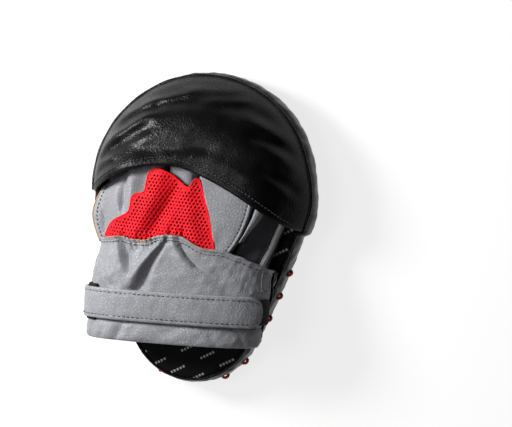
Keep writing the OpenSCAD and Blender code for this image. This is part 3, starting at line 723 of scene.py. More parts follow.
def cloth(name, colour, pitch=0.9, relief=0.25, sheen=0.02, ticks=False):
    mat, tree, shader = start_finish(name, 0.82, 0.1, sheen)
    weave = use(tree, WEAVE, Pitch=pitch)
    base = between(tree, ramp(tree, weave["Tone"], 0.0, 0.6), colour, 0.6, 1.5)
    if ticks:
        base = blend_colour(tree, times(tree, tick_marks(tree), 0.75), base, (0.62, 0.62, 0.64, 1))
    end_finish(tree, shader, base, weave["Height"], relief)
    return mat


def thread(name, colour):
    mat, tree, shader = start_finish(name, 0.55, 0.4, 0.1)
    ply = wave(tree, laid(tree, (0.6, 0.5, 0.7)), 420.0, 1.5, 2.0)
    end_finish(tree, shader, between(tree, ply, colour, 0.55, 1.3), ply, 0.2)
    return mat


def knit(name, colour):
    mat, tree, shader = start_finish(name, 0.6, 0.2)
    yarn, broad = noise(tree, 1400.0, 3.0), noise(tree, 60.0, 3.0)
    loops = cells(tree, place_on(tree), 1300.0, "SMOOTH_F1")
    base = between(tree, ramp(tree, yarn, 0.3, 0.7), colour, 0.72, 1.2)
    base = blend_colour(tree, ramp(tree, broad, 0.35, 0.65), base, shade(colour, 1.1))
    end_finish(tree, shader, base, plus(tree, yarn, loops), 0.3)
    return mat


def tape(name, colour, scale):
    mat, tree, shader = start_finish(name, 0.9, 0.2, 0.3)
    pile, fuzz = cells(tree, place_on(tree), scale), noise(tree, 1100.0, 4.0)
    base = between(tree, ramp(tree, fuzz, 0.3, 0.75), colour, 0.5, 2.4)
    end_finish(tree, shader, base, plus(tree, pile, fuzz), 0.5)
    return mat


# Leathers: colour, roughness, colour of rubbed edges with their painted highlight, pebble size, relief, rubbing and
# edge highlight, shine, change of tone
GREY = leather("grey_hide", (0.255, 0.257, 0.275, 1), 0.4, (0.42, 0.42, 0.43, 1), 2.5, 0.2, 0.4, 0.34, 0.12)
PANEL_GREY = leather("panel_hide", (0.24, 0.242, 0.26, 1), 0.42, (0.42, 0.42, 0.43, 1), 2.6, 0.22, 0.5, 0.34, 0.12)
DARK = leather("dark_hide", (0.036, 0.036, 0.041, 1), 0.42, (0.12, 0.12, 0.125, 1), 1.8, 0.12, 0.3, 0.3, 0.2)
BLACK = leather("black_hide", (0.0035, 0.0035, 0.004, 1), 0.22, (0.016, 0.016, 0.017, 1), 2.3, 0.14, 0.3, 0.13, 0.3)
FACE_GREY = leather("face_hide", (0.15, 0.148, 0.156, 1), 0.46, (0.3, 0.3, 0.31, 1), 1.6, 0.11, 0.3, 0.4, 0.12)
RED_HIDE = leather("red_hide", (0.72, 0.011, 0.015, 1), 0.42, (0.8, 0.05, 0.05, 1), 1.3, 0.07, 0.3, 0.4, 0.14)
# thumb hem leather: painted lighter than grey_hide, to brighten the hem where it lies in shade
HEM_GREY_PAINTED_LIGHT = leather("hem_hide_painted_light", (0.28, 0.28, 0.29, 1), 0.46, (0.22, 0.22, 0.225, 1), 1.8, 0.13, 0.4, 0.4, 0.15)
RAW_EDGE = leather("raw_edge", (0.4, 0.26, 0.17, 1), 0.75, (0.55, 0.42, 0.32, 1), 0.9, 0.25, 0.5, 0.3, 0.28)
LINING = cloth("lining_weave", (0.007, 0.0065, 0.007, 1))
PRINTED = cloth("lining_dashes", (0.007, 0.0065, 0.007, 1), ticks=True)
MESH_BACK = cloth("mesh_backing", (0.42, 0.004, 0.01, 1), 1.4, 0.4, 0.0)
ELASTIC = cloth("ribbed_elastic", (0.01, 0.01, 0.011, 1), 1.6, 0.5)
PAD_FOAM = cloth("pad_foam", (0.6, 0.57, 0.45, 1), 0.7, 0.4)
RED_MESH = knit("red_air_mesh", (0.7, 0.003, 0.012, 1))
RED_THREAD = thread("red_lace", (0.85, 0.01, 0.014, 1))
DISC_THREAD = thread("disc_thread", (0.35, 0.006, 0.01, 1))
GREY_THREAD = thread("grey_thread", (0.2, 0.2, 0.21, 1))
BLACK_THREAD = thread("black_thread", (0.045, 0.045, 0.048, 1))
DARK_THREAD = thread("dark_thread", (0.035, 0.035, 0.04, 1))
LOOP_TAPE = tape("loop_pile", (0.008, 0.008, 0.009, 1), 900.0)
HOOK_TAPE = tape("hook_rows", (0.01, 0.01, 0.011, 1), 600.0)


# Pad

COVER_FROM, COVER_TO = 0.0, rim_dist(16.0)


def cover_share(d):
    """1 where the rim cover laps onto the face, 0 along the wrist half."""
    d = np.mod(d, ROUND)
    far = np.where(d > COVER_TO, np.minimum(d - COVER_TO, ROUND - d), 0)
    return 1 - smooth(far / 22)


def face_edge(d):
    return mix(GUSSET_Q, LAP_Q, cover_share(d))


def build_face():
    d = np.linspace(0, ROUND, 240, endpoint=False)
    rim, edge = rim_at(d), face_edge(d)
    shares = (0.05, 0.12, 0.2, 0.3, 0.42, 0.55, 0.66, 0.75, 0.82, 0.88, 0.925, 0.96, 0.985, 1.0)
    turned = ((0.008, 0.9), (0.025, 1.9), (0.06, 2.1), (0.1, 2.1))
    rings = np.stack([skin(rim, s * edge) for s in shares] + [skin(rim, edge + q, depth) for q, depth in turned])
    worn_and_highlighted = np.zeros(rings.shape[:2])
    # outer rings of the face paler: rubbed edge and a painted highlight
    worn_and_highlighted[12:14] = 0.5
    face = domed("face_leather", skin(rim_at(0.0), 0.0), rings, None, FACE_GREY, worn_and_highlighted)
    wear(settle(face, HIDE), "face_panel")


def wall_rows(d, low, depth):
    """Rows of the pad's wall, from an edge on the face up to the lining."""
    u = np.array([0, 0.02, 0.06, 0.12, 0.2, 0.3, 0.4, 0.5, 0.6, 0.7, 0.8, 0.88, 0.94, 0.98, 1.0])[:, None]
    rim = np.broadcast_to(rim_at(d), (len(u), len(d), 4))
    points = skin(rim, mix(low, LINING_Q, u), depth(u, d[None]))
    points[..., 2] = np.maximum(points[..., 2], 0.05)
    return points


def build_rim():
    def ripple(u, d):
        pucker = 0.45 * (1 + np.sin(d / 1.45 + 2 * wander(d, u * 20, 17))) * np.exp(-u / 0.1)
        near_end = smooth((d - COVER_FROM + 3) / 5) * (1 - smooth((d - COVER_FROM - 8) / 48))
        full = 4.2 * near_end * np.sin(np.pi * np.clip(u, 0, 1)) ** 0.6
        return -0.25 - full - pucker - 0.5 * wander(d, 60 * u, 9, 1.0) - 0.35 * wander(d, 14 * u, 4, 2.0)

    rows = wall_rows(np.linspace(COVER_FROM - 3, COVER_TO + 3, 300), LAP_Q + 0.004, ripple)
    wear(sheet_piece("rim_leather", rows, BLACK), "rim_cover")
    path = skin(rim_at(np.linspace(COVER_FROM - 1, COVER_TO + 1, 700)), LAP_Q + 0.03, -0.75)
    path[:, 2] = np.maximum(path[:, 2], 0.4)
    add("rim_stitching", stitches(path, -UP, 4.0, 2.8), GREY_THREAD)


def build_gusset():
    def ripple(u, d):
        under = 1 - smooth(np.minimum(d - COVER_TO, ROUND - d) / 6 + 0.6)
        creases = 0.55 * wander(d, 40 * u, 6, 3.0) + 0.35 * wander(d, 15 * u, 3.1, 4.0)
        return 2.1 * under - (1 - under) * (0.1 + creases)

    d = np.linspace(COVER_TO - 8, ROUND + 8, 260)
    wall = sheet_piece("wall_leather", wall_rows(d, face_edge(d), ripple), BLACK)
    wear(wall, "side_gusset")


def build_back():
    rim = rim_at(np.linspace(0, ROUND, 200, endpoint=False))
    rings = []
    for q in (1.79, 1.83, 1.88, 1.94, 2.0, 2.06, 2.14, 2.24, 2.36, 2.5, 2.64, 2.78, 2.9):
        x, y = rim[:, :2].T * (3 - max(q, 2))
        rings.append(skin(rim, q, 0.25 + 0.25 * wander(x, y, 13)))
    rings = np.stack(rings)
    back = domed("back_cloth", None, rings, skin(rim_at(0.0), 3.0, 0.25), PRINTED, np.zeros(rings.shape[:2]))
    settle(back, CLOTH)
    # plain cloth along the rim, beside the hood and the side panel
    back.data.materials.append(LINING)
    middle = np.empty(len(back.data.polygons) * 3)
    back.data.polygons.foreach_get("center", middle)
    x, y = middle[0::3] * 1000, middle[1::3] * 1000
    inset = np.where(y > CROWN_Y, in_from_crown(x, y), half_width(y) - np.abs(x))
    plain = (inset < 17) & (y > np.where(x > 0, 12, -30))
    back.data.polygons.foreach_set("material_index", plain.astype(np.int32))
    wear(back, "back_lining")
    piping = skin(rim_at(np.linspace(COVER_TO, ROUND, 300)), 1.81, -0.5)
    add("heel_piping", tube_mesh(piping, 1.3, 10), BLACK)


def build_laces():
    """Whip stitches of two twisted plies: the thumb side's, and the same mirrored."""
    half_turn = 2 * math.atan(LACE_BOW / LACE_CHORD)
    bend_r = (LACE_CHORD ** 2 + LACE_BOW ** 2) / (2 * LACE_BOW)
    turn = (np.linspace(-1.12, 1.12, 40) * half_turn)[:, None]
    slant = math.radians(LACE_SLANT)
    parts = []
    for k in range(LACE_COUNT):
        x, y, nx, ny = rim_at(ROUND - LACE_FIRST - k * LACE_PITCH)
        out, along = np.array([nx, ny, 0]), np.array([-ny, nx, 0])
        rise = UP * math.cos(slant) - along * math.sin(slant)
        mid = np.array([x + GAP * nx, y + GAP * ny, float(face_z(y) + thickness(y) / 2)])
        path = mid + (bend_r * np.cos(turn) - bend_r + LACE_BOW) * out + bend_r * np.sin(turn) * rise
        cross = unit(np.cross(out, rise))
        up = np.cross(unit(np.gradient(path, axis=0)), cross)
        for ply in (0, np.pi):
            twist = (np.linspace(0, 5 * np.pi, 40) + ply)[:, None]
            parts.append(tube_mesh(path + 0.5 * (np.cos(twist) * cross + np.sin(twist) * up), 0.9, up=cross))
    points, faces = joined(parts)
    mirrored = points * [-1, 1, 1], [f[::-1] for f in faces]
    for name, shape in (("side_lacing_thumb", (points, faces)), ("side_lacing_outer", mirrored)):
        add(name + "_cord", shape, RED_THREAD, name)


def build_disc():
    turn = np.linspace(0, 2 * np.pi, 128, endpoint=False)

    def ring(r, drop):
        x, y = r * np.cos(turn), r * np.sin(turn)
        return xyz(x, y, np.maximum(0, face_z(y) - FACE_CROWN) - 2 * GAP - drop)

    # radius and drop: the outside with its stitch groove and rounded edge, then the inside
    section = ((6, 1.9), (14, 1.88), (22, 1.85), (29, 1.8), (33.5, 1.72), (35, 1.62), (DISC_SEAM_R, 1.45), (37, 1.62),
               (38.4, 1.7), (39.4, 1.5), (DISC_R, 0.9), (DISC_R - 0.2, 0.1), (38, 0), (30, 0), (18, 0), (8, 0))
    rings = np.stack([ring(r, drop) for r, drop in section])
    worn_and_highlighted = np.zeros(rings.shape[:2])
    # the disc's rounded edge paler: rubbed, and partly a painted highlight
    worn_and_highlighted[9:11] = 0.7
    centre = np.array([0, 0, float(face_z(0.0)) - FACE_CROWN - 2 * GAP])
    wear(domed("target_patch", centre - 1.9 * UP, rings, centre, RED_HIDE, worn_and_highlighted), "target_disc")
    add("target_edge", tube_mesh(ring(DISC_R + 0.15, 0.2), 0.55, closed=True), BLACK)
    path = ring(DISC_SEAM_R, 1.62)
    sewn = stitches(np.concatenate([path, path[:1]]), -UP, 3.6, 2.6)
    add("target_stitching", sewn, DISC_THREAD)


# Hood

# Folds in the hood: two plan points, width, height
HOOD_FOLDS = (
    (-92, 62, -40, 92, 4.5, 3.2), (-86, 56, -40, 80, 5, -2.4), (-95, 46, -70, 58, 3.5, 2.2),
    (-92, 40, -66, 50, 4, -1.6), (-76, 88, -40, 108, 4, 2.2), (-66, 84, -34, 99, 5, -1.8),
    (-48, 106, -6, 112, 3.5, 2.0), (-40, 100, 0, 105, 5, -1.6), (-12, 120, 30, 121, 4, 1.6),
    (14, 112, 44, 110, 4, 1.8), (24, 104, 62, 98, 6, -1.8), (44, 98, 84, 82, 5, 2.4),
    (52, 84, 88, 66, 5, -2.0), (60, 74, 92, 52, 4.5, 2.0), (64, 58, 90, 38, 4.5, -1.6),
    (66, 46, 90, 26, 4, 1.4), (-62, 50, 0, 62, 6, 1.4), (-70, 62, 10, 70, 6, -1.4), (10, 60, 60, 42, 6, 1.2))


def hood_folds(x, y):
    total = 0.45 * wander(x, y, 19, 0.4) + 0.22 * wander(x, y, 8, 1.3)
    for x0, y0, x1, y1, width, height in HOOD_FOLDS:
        run = math.hypot(x1 - x0, y1 - y0)
        ux, uy = (x1 - x0) / run, (y1 - y0) / run
        along = ((x - x0) * ux + (y - y0) * uy) / run
        away = (x - x0) * -uy + (y - y0) * ux + 2.5 * np.sin(2.2 * along + x0)
        ends = smooth((along + 0.25) / 0.35) * smooth((1.25 - along) / 0.35)
        total = total + height * np.exp(-(away / width) ** 2) * ends
    return total


def corner_pull(v, x, y, z):
    """Hood point, with the thumb-side corner pulled out over the rim."""
    out = smooth((v - 0.84) / 0.16)
    return xyz(x + 3.8 * out, y + 1.6 * out, z)


def hood_surface(v, t, lift=3.9 + GAP):
    x, y = hood_plan(v, t)
    fade = smooth((in_from_crown(x, y) - SEAM_INSET) / 14)
    return corner_pull(v, x, y, hood_under(x, y) + lift + hood_folds(x, y) * fade)


def from_crown(points):
    """Level direction away from the middle of the pad's finger end."""
    return unit((points - [0, CROWN_Y, 0]) * [1, 1, 0])


def build_hood():
    shell = hood_surface(*np.meshgrid(np.linspace(0, 1, 120), np.linspace(0, 1, 48)))
    out = from_crown(shell[0])
    shell = np.concatenate([shell[:1] - 2.0 * UP + 1.2 * out, shell[:1] + 0.5 * out, shell[1:]])
    hood = sheet_piece("hood_leather", folded_edge(shell[:, ::-1], 1.7, 5.0), BLACK, 1.3, 3.0)
    wear(hood, "finger_hood")
    inner = hood_surface(*np.meshgrid(np.linspace(0.01, 0.99, 60), np.linspace(0.05, 0.97, 24)), lift=1.3)
    lining = wear(sheet_piece("hood_cloth", inner[:, ::-1], LINING, CLOTH * 0.8), "hood_lining")
    # welt along the seam and the two short sides
    side = np.linspace(1, 0, 20)
    v = np.concatenate([np.zeros(20), np.linspace(0, 1, 220), np.ones(20)])
    x, y = hood_plan(v, np.concatenate([side, np.zeros(220), side[::-1]]))
    welt = resample(corner_pull(v, x, y, hood_under(x, y) + 2.6), 2.0)
    thick = 1.5 + 0.15 * np.sin(np.arange(len(welt)) / 2.3)
    add("hood_welt", tube_mesh(welt + 0.8 * from_crown(welt), thick, 10), BLACK)
    path, up = seat(hood_surface, np.linspace(0.02, 0.98, 500), np.full(500, 0.953), 0.0, 0.002)
    up = np.where(up[:, 2:] < 0, -up, up)
    add("hood_stitching", stitches(path + 0.45 * up, up, 3.4, 2.4, 0.36), BLACK_THREAD)


# Glove back: mesh, fingers and side panel

def direction(x, y):
    """Direction round the cuff of a plan point."""
    return np.degrees(np.arccos(np.clip(spow((x - arch_mid(y)) / arch_half(y), 1 / ARCH_POWER), -1, 1)))


def gathered(x, y):
    """How far the cuff's gathers still draw in what lies just above its hem."""
    a = direction(x, y)
    return pleat(a, np.minimum(y, hem_y(a))) * smooth((hem_y(a) + 14 - y) / 14)


def back_of_hand(x, y, depth):
    """Height of the glove's back, drawn in near the cuff's gathers."""
    return glove_z(x, y, depth) - np.maximum(gathered(x, y), -2)


# Mesh over the knuckles: points round a cell, its rows' share of the pitch, the rows' turn, and the outline in plan
RING, HEX_ROW, MESH_TURN = 12, 0.866, math.radians(58)
MESH_OUTLINE = eased([
    (-79, -16), (-76.8, -10), (-74.2, -4.6), (-71, -0.6), (-66.5, 2.4), (-60, 5.4), (-54, 8.2), (-51, 10.6),
    (-50.2, 15), (-50, 23.2), (-48, 25.8), (-44.5, 26.6), (-38.4, 27.2), (-37.6, 30), (-37.2, 36), (-36.8, 44),
    (-33.4, 47.4), (-28, 48.4), (-23.8, 47.9), (-15.4, 44.5), (-9, 40), (-4.2, 36.3), (1.3, 33.6), (3, 37.5),
    (5, 42.3), (9.6, 43.4), (11.5, 37), (14.5, 29), (18.1, 19), (22, 6), (25, -4), (28.5, -18)], 1.4, 5)
MESH_AREA = np.concatenate([MESH_OUTLINE, [(28.5, -22), (-79, -22)]])


def in_mesh(x, y):
    """Whether plan points lie inside the mesh's outline."""
    hit = np.zeros(np.shape(x), bool)
    for (x0, y0), (x1, y1) in zip(MESH_AREA, np.roll(MESH_AREA, -1, 0)):
        hit ^= ((y0 > y) != (y1 > y)) & (x < (x1 - x0) * (y - y0) / (y1 - y0 + 1e-12) + x0)
    return hit


def above_hem(x, y):
    """Whether plan points lie above the cuff's hem, or at most 3 mm under it."""
    return y > hem_y(direction(x, y)) - 3


def mesh_z(x, y):
    valley = np.interp(y, [-4, 8, 20, 36], [-29, -23, -17, -10])
    left = np.interp(y, [-5, 10, 28, 45], [-45, -37, -29, -25])
    right = np.interp(y, [-8, 12, 28, 42], [9, 4, -1, 4])
    ridge = 2.0 * bump(x, left, 7) - 3.4 * bump(x, valley, 6) * smooth((44 - y) / 16) + 2.0 * bump(x, right, 7)
    under = 1.4 * smooth((hem_y(direction(x, y)) + 3 - y) / 4)
    return back_of_hand(x, y, 2.0) + ridge + 0.35 * wander(x, y, 9, 0.7) - under


def mesh_back_z(x, y):
    """Backing behind the mesh: close to it, but deep along the hollow between the fingers."""
    hollow = np.interp(y, [-12, 0, 15, 30, 46], [-37, -31, -23, -22, -25])
    return mesh_z(x, y) - 1.5 - 4.5 * bump(x, hollow, 11)


def edge_line(*places):
    """Plan edge of a piece: x by the height along the pad."""
    ys, xs = zip(*places)
    return lambda y: np.interp(y, ys, xs)


def finger_piece(name, left, right, y0, y1, depth, nodes, power=0.42, finish=PANEL_GREY, flatten=None, swell=None):
    """Squarish half-tube with a closed, rounded tip."""
    tip_y = y1 - FINGER_TIP
    tip_rows = y1 - FINGER_TIP * (1 - np.sin(np.linspace(0.2, 1, 7) * np.pi / 2))
    y, a = net(np.concatenate([np.linspace(y0, tip_y, 30), tip_rows]), np.linspace(180, 0, 57))
    tip = np.sqrt(np.clip(1 - np.clip((y - tip_y) / FINGER_TIP, 0, 1) ** 2, 0.02, 1))
    xl, xr = left(y), right(y)
    x = (xl + xr) / 2 + (xr - xl) / 2 * spow(cosd(a), power) * (0.55 + 0.45 * tip)
    base = back_z(y) + 0.6
    top = back_of_hand(x, y, depth) + 0.5 * wander(x, y, 11, xl.mean())
    if swell:
        top = top + swell(x, y)
    covered = in_mesh(x, y) & in_mesh(x + 3, y) & in_mesh(x - 3, y) & in_mesh(x, y + 3)
    top = np.where(covered, np.minimum(top, mesh_back_z(x, y) - 1.0), top)
    rise = np.maximum(0, sind(a)) ** power
    if flatten:
        rise = mix(rise, 1.0, flatten(y) * 0.86)
    points = xyz(x, y, base + (top - base) * rise * (0.35 + 0.65 * tip))
    wear(sheet_piece(name, points, finish, reach=3.5), nodes)


INDEX_LEFT = edge_line((-22, 13.0), (0, 9.5), (44, 5.5), (93, 13.5))
INDEX_RIGHT = edge_line((-22, 38.6), (-16, 41.8), (-8, 46.2), (0, 49.8), (8, 52.8), (18, 55.6), (30, 57.2), (93, 50.0))
THUMB_LEFT = edge_line((-30, 36.0), (-3, 42.0), (10, 56.0), (24, 65.5), (32, 67.0))
THUMB_RIGHT = edge_line((-32, 67.6), (-25, 68.9), (-5, 75.4), (14, 82.4), (32, 85.0))


def thumb_top(x, y):
    """Height of the thumb panel over a plan point."""
    xl, xr = THUMB_LEFT(y), THUMB_RIGHT(y)
    slope = back_z(y) + 25.5 - 7 * smooth((x - xl) / (xr - xl)) + 5 * smooth((-8 - y) / 20)
    sag = 1.6 * bump(y + 0.3 * x, 6, 7) + 1.2 * bump(y - 0.4 * x, -38, 6)
    return np.minimum(back_of_hand(x, y, 5.2), slope) - sag


def ring_swell(x, y):
    return (2.4 * bump(x, -54, 5.5) - 1.8 * bump(x, -40, 6)) * smooth((70 - y) / 20)


def build_fingers():
    finger_piece("little_stall", edge_line((20, -83.5), (71, -80)), edge_line((20, -60.5), (71, -57)),
                 24.5, 71, 11.0, "little_finger_stall")
    finger_piece("ring_stall", edge_line((-4, -61), (40, -61.5), (95, -56)), edge_line((-4, -24.5), (95, -21.5)),
                 -4, 95.5, 4.2, "ring_finger_stall", 0.6, swell=ring_swell)
    finger_piece("middle_stall", edge_line((-4, -21.8), (105, -21)), edge_line((-4, 6), (44, 4.5), (105, 12.5)),
                 -4, 105.5, 5.4, "middle_finger_stall")
    finger_piece("index_stall", INDEX_LEFT, INDEX_RIGHT, -21, 93.5, 2.8, "index_finger_stall", 0.36,
                 flatten=lambda y: 1 - smooth((y + 14) / 26))
    finger_piece("finger_gusset", edge_line((-8, 46.0), (0, 49.6), (12, 53.6), (28, 56.6), (46, 57.2)),
                 edge_line((-8, 49.8), (0, 54.8), (10, 62.5), (24, 71.5), (46, 75.0)), -8, 46, 0.6, "", 0.7, GREY)
    y, a = net(np.linspace(-30, 32, 30), np.linspace(180, 0, 37))
    xl, xr = THUMB_LEFT(y), THUMB_RIGHT(y)
    x = (xl + xr) / 2 + (xr - xl) / 2 * spow(cosd(a), 0.5)
    base = back_z(y) + 0.8
    points = xyz(x, y, base + (thumb_top(x, y) - base) * np.maximum(0, sind(a)) ** 0.5)
    wear(sheet_piece("thumb_leather", points, DARK), "thumb_stall")
    tucked_edge("thumb_tucked_edge", 37.0, 66.5, lambda x, y: thumb_top(x, y) - 1.0, DARK)


def hem_strip(name, right, y0, y1, width, height, finish):
    """Turned hem along a panel's right-hand edge, flat on top and rolled down outside, and its stitches."""
    ys = np.linspace(y0, y1, 40)
    y, k = net(ys, np.linspace(0, 1, 12))
    roll = np.clip((k - 0.72) / 0.28, 0, 1)
    x = right(y) - width * (1 - k) + 0.4 - 0.5 * roll ** 2
    crown = 0.75 * np.sin(np.pi * np.clip(k * 1.15, 0, 1)) ** 0.5
    z = height(right(y) - width * 0.7, y) + crown - 5.5 * roll ** 2 - 0.6 * (1 - smooth(k * 6))
    wear(sheet_piece(name, xyz(x, y, z), finish, 1.2, 1.6))
    x = right(ys) - width - 0.2
    return stitches(xyz(x, ys, height(x, ys) + 0.55), UP, 3.4, 2.3)


def build_hems():
    def index_top(x, y):
        return back_of_hand(x, y, 1.5)

    sewn = [hem_strip("index_hem", INDEX_RIGHT, -19, 34, 4.2, index_top, GREY),
            hem_strip("thumb_hem", THUMB_RIGHT, -30, 17, 5.6, thumb_top, HEM_GREY_PAINTED_LIGHT)]
    # the index panel's top, laid over the mesh's edge
    y, k = net(np.linspace(-22, 62, 70), np.linspace(0, 1, 22))
    cut = np.interp(y, [-22, -18, -4, 6, 19, 29, 37, 42.6, 62], [30.0, 28.4, 24.9, 21.9, 18.0, 14.4, 11.4, 9.3, 9.0])
    x = mix(cut, INDEX_RIGHT(y) - 2.6, k)
    dent = 0.5 * bump(x - 0.4 * y, 34, 5) * smooth((12 - y) / 20)
    z = back_of_hand(x, y, 1.6) + 0.3 * wander(x, y, 12, 0.9) - dent
    wear(sheet_piece("index_panel", xyz(x, y, z), PANEL_GREY, 1.3, 1.2))
    return sewn


def build_side_panel():
    left = edge_line((-18, -83.5), (-12, -86.5), (-2.8, -90.5), (4.8, -92.3), (11.8, -91.6), (19, -89.4), (27, -85.5),
                     (34, -79.5), (46, -69.0))
    right = edge_line((-18, -49.0), (9, -50.5), (46, -55.5))
    ys = np.linspace(-18, 46, 40)
    y, s = net(ys, np.linspace(0, 1, 34) ** 1.3)
    x = mix(left(y), right(y), s)
    beside_ring = 5.4 * bump(x, -59.5, np.interp(y, [4, 34], [3.0, 8.0])) * smooth((y - 2) / 16)
    fold = beside_ring + 1.2 * bump(x + 0.5 * y, -68, 5) * bump(y, 12, 12) + 1.4 * bump(x, -80, 4) * bump(y, 2, 14)
    foot = back_z(y) + 6.5
    rise = np.maximum(back_of_hand(x, y, 1.6 + 7 * s ** 3) - foot, 2.6)
    z = foot + rise * np.sin(np.pi / 2 * s) ** 0.75 - fold * smooth(s * 4) * smooth((1 - s) * 4)
    points = xyz(x, y, z)
    wear(sheet_piece("side_leather", points, GREY), "outer_side_panel")
    y, k = net(ys, np.linspace(0, 1, 8))
    under = xyz(left(y) + 0.8 + 8 * k, y, mix(back_z(y) + 4.6, back_z(y) - 0.6, k))
    wear(sheet_piece("side_foot", under[:, ::-1], BLACK, 1.0))
    raw = points[:, 0] + [-0.3, 0, -0.8]
    add("side_raw_edge", tube_mesh(raw, 1.15, flat=0.9), RAW_EDGE)
    sewn = 5
    ahead, over = (np.gradient(points, axis=axis)[:, sewn] for axis in (0, 1))
    up = unit(np.cross(over, ahead))
    return stitches(points[:, sewn] + 0.25 * up, up, 3.6, 2.4)


def tucked_edge(name, x0, x1, height, finish):
    """Seam edge of a piece that goes in under the cuff's hem and up to the cuff's inside."""
    x, k = np.meshgrid(np.linspace(x0, x1, 170), np.linspace(0, 1, 12))
    y = hem_at(x) + mix(0.6, -7.0, k)
    z = mix(height(x, y), glove_z(x, y, 0) - gathered(x, y) - 3.2, smooth(k * 1.25))
    return wear(sheet_piece(name, xyz(x, y, z)[::-1], finish, 0.7))


def build_hem_shade_strip():
    """Leather strip sewn to the cuff's inside, which closes the space under the hem; a dark sheet whose colour stands
    in for the shade under the hem.
    """
    x, k = np.meshgrid(np.linspace(-76, 66, 190), np.linspace(0, 1, 8))
    s = 180 - direction(x, HEM_MID_Y)
    # raised where the hem's folds stand open
    top = 0.9 - 3.0 * bump(x, -0.9, 1.5) - 1.2 * bump(x, -13.3, 1.5)
    points = cuff_surface(s, hem_wave(s) - mix(5.0, 6.0, k), mix(top, 8.0, k))
    wear(sheet_piece("hem_shade_strip", points[::-1], DARK, 0.5))


def mesh_cells():
    """Plan of the mesh's cells: their middles, and rings of points at the border, the lip and the hole."""
    row = np.arange(-70, 71)
    u, v = np.meshgrid(np.arange(-60, 61) * MESH_PITCH, row * MESH_PITCH * HEX_ROW)
    u = u + MESH_PITCH / 2 * (row % 2)[:, None]
    c, s = math.cos(MESH_TURN), math.sin(MESH_TURN)
    middles = np.stack([(u * c - v * s - 25).ravel(), (u * s + v * c + 14).ravel()], -1)
    x, y = middles.T
    middles = middles[in_mesh(x, y) & above_hem(x, y)]
    x, y = middles.T
    lay = np.array([[c, s], [-s, c]])
    corner = np.arange(RING)
    turn, even = np.radians(corner * 30.0), corner % 2 == 0
    around = np.stack([np.cos(turn), np.sin(turn)], -1)
    reach = np.where(even, MESH_PITCH / 2, MESH_PITCH / math.sqrt(3))
    outer = middles[:, None] + (reach[:, None] * around @ lay)[None]
    # corners that too few cells share lie at the cut border and are drawn out to it
    key = np.round(outer.reshape(-1, 2) * 20 + 0.123).astype(np.int64)
    _, back, count = np.unique(key, axis=0, return_inverse=True, return_counts=True)
    free = count[back.ravel()].reshape(-1, RING) < np.where(even, 2, 3)
    border = resample(MESH_OUTLINE, 0.5)
    gap = np.linalg.norm(outer[free][:, None] - border[None], axis=-1)
    outer[free] = np.where(gap.min(1)[:, None] < 3.2, border[gap.argmin(1)], outer[free])
    # holes, nearly closed at the border
    hole = middles[:, None] + (MESH_PITCH * around * [0.3, 0.19] @ lay)[None]
    whole = np.all([in_mesh(x + 2.6 * math.cos(k), y + 2.6 * math.sin(k)) for k in np.arange(8) * math.pi / 4], 0)
    hole = mix(middles[:, None], hole, np.where(whole, 1.0, 0.2)[:, None, None])
    return middles, np.concatenate([outer, mix(outer, hole, 0.55), hole], 1)


def build_mesh():
    middles, rings = mesh_cells()
    n = len(middles)
    x, y = rings.reshape(-1, 2).T
    depth = np.repeat([0.0, -0.18, 0.25], RING)
    points = xyz(x, y, mesh_z(x, y) - np.tile(depth, n))
    one = []
    for k in range(RING):
        m = (k + 1) % RING
        one += [[ring + k, ring + m, ring + RING + m, ring + RING + k] for ring in (0, RING)]
    faces = (np.array(one)[None] + 3 * RING * np.arange(n)[:, None, None]).reshape(-1, 4)
    # neighbours share their border's points
    key = np.round(points * 50).astype(np.int64)
    _, first, back = np.unique(key, axis=0, return_index=True, return_inverse=True)
    mesh = make_object("knuckle_air_mesh", points[first], back.ravel()[faces].tolist(), RED_MESH)
    wear(settle(mesh, 1.0), "knuckle_mesh")
    x, y = np.meshgrid(np.linspace(-79, 29, 70), np.linspace(-20, 48, 46))
    keep = in_mesh(x, y) & above_hem(x, y)
    quads = np.array(grid_faces(*x.shape))
    used, index = np.unique(quads[np.all(keep.ravel()[quads], 1)], return_inverse=True)
    cloth_points = xyz(x, y, mesh_back_z(x, y)).reshape(-1, 3)[used]
    backing = make_object("mesh_backing_cloth", cloth_points, index.reshape(-1, 4).tolist(), MESH_BACK)
    wear(settle(backing, 0.5))
    # narrow turned edge round the cut border
    x, y = resample(MESH_OUTLINE, 1.2).T
    edge = add("mesh_turned_edge", tube_mesh(xyz(x, y, mesh_z(x, y) - 0.05), 0.85, flat=0.6), RED_MESH)
    tuck = tucked_edge("mesh_tucked_edge", -77.5, 29.0, lambda x, y: mesh_z(x, y) - 0.9, RED_MESH)


# Cuff

def cuff_surface(s, y, depth):
    return cuff_point(s, y, depth + pleat(180 - s, y))


def hem_wave(s):
    """Place of the hem with its small waves."""
    a = 180 - s
    return hem_y(a) + 0.35 * np.sin(np.radians(a) * 23) * sind(a) ** 2


def cuff_skin(s, y):
    """Outside of the cuff's leather, with its small creases and the turned-up hem."""
    rough = 0.3 * wander(s * 1.4, y, 9, 0.3) + 0.2 * wander(s * 1.4, y, 4.5, 2.0)
    below = hem_wave(s) - y
    return cuff_surface(s, y, rough - 1.3 * smooth(1 - below / 6) + 0.8 * bump(below, 2.1, 0.9))


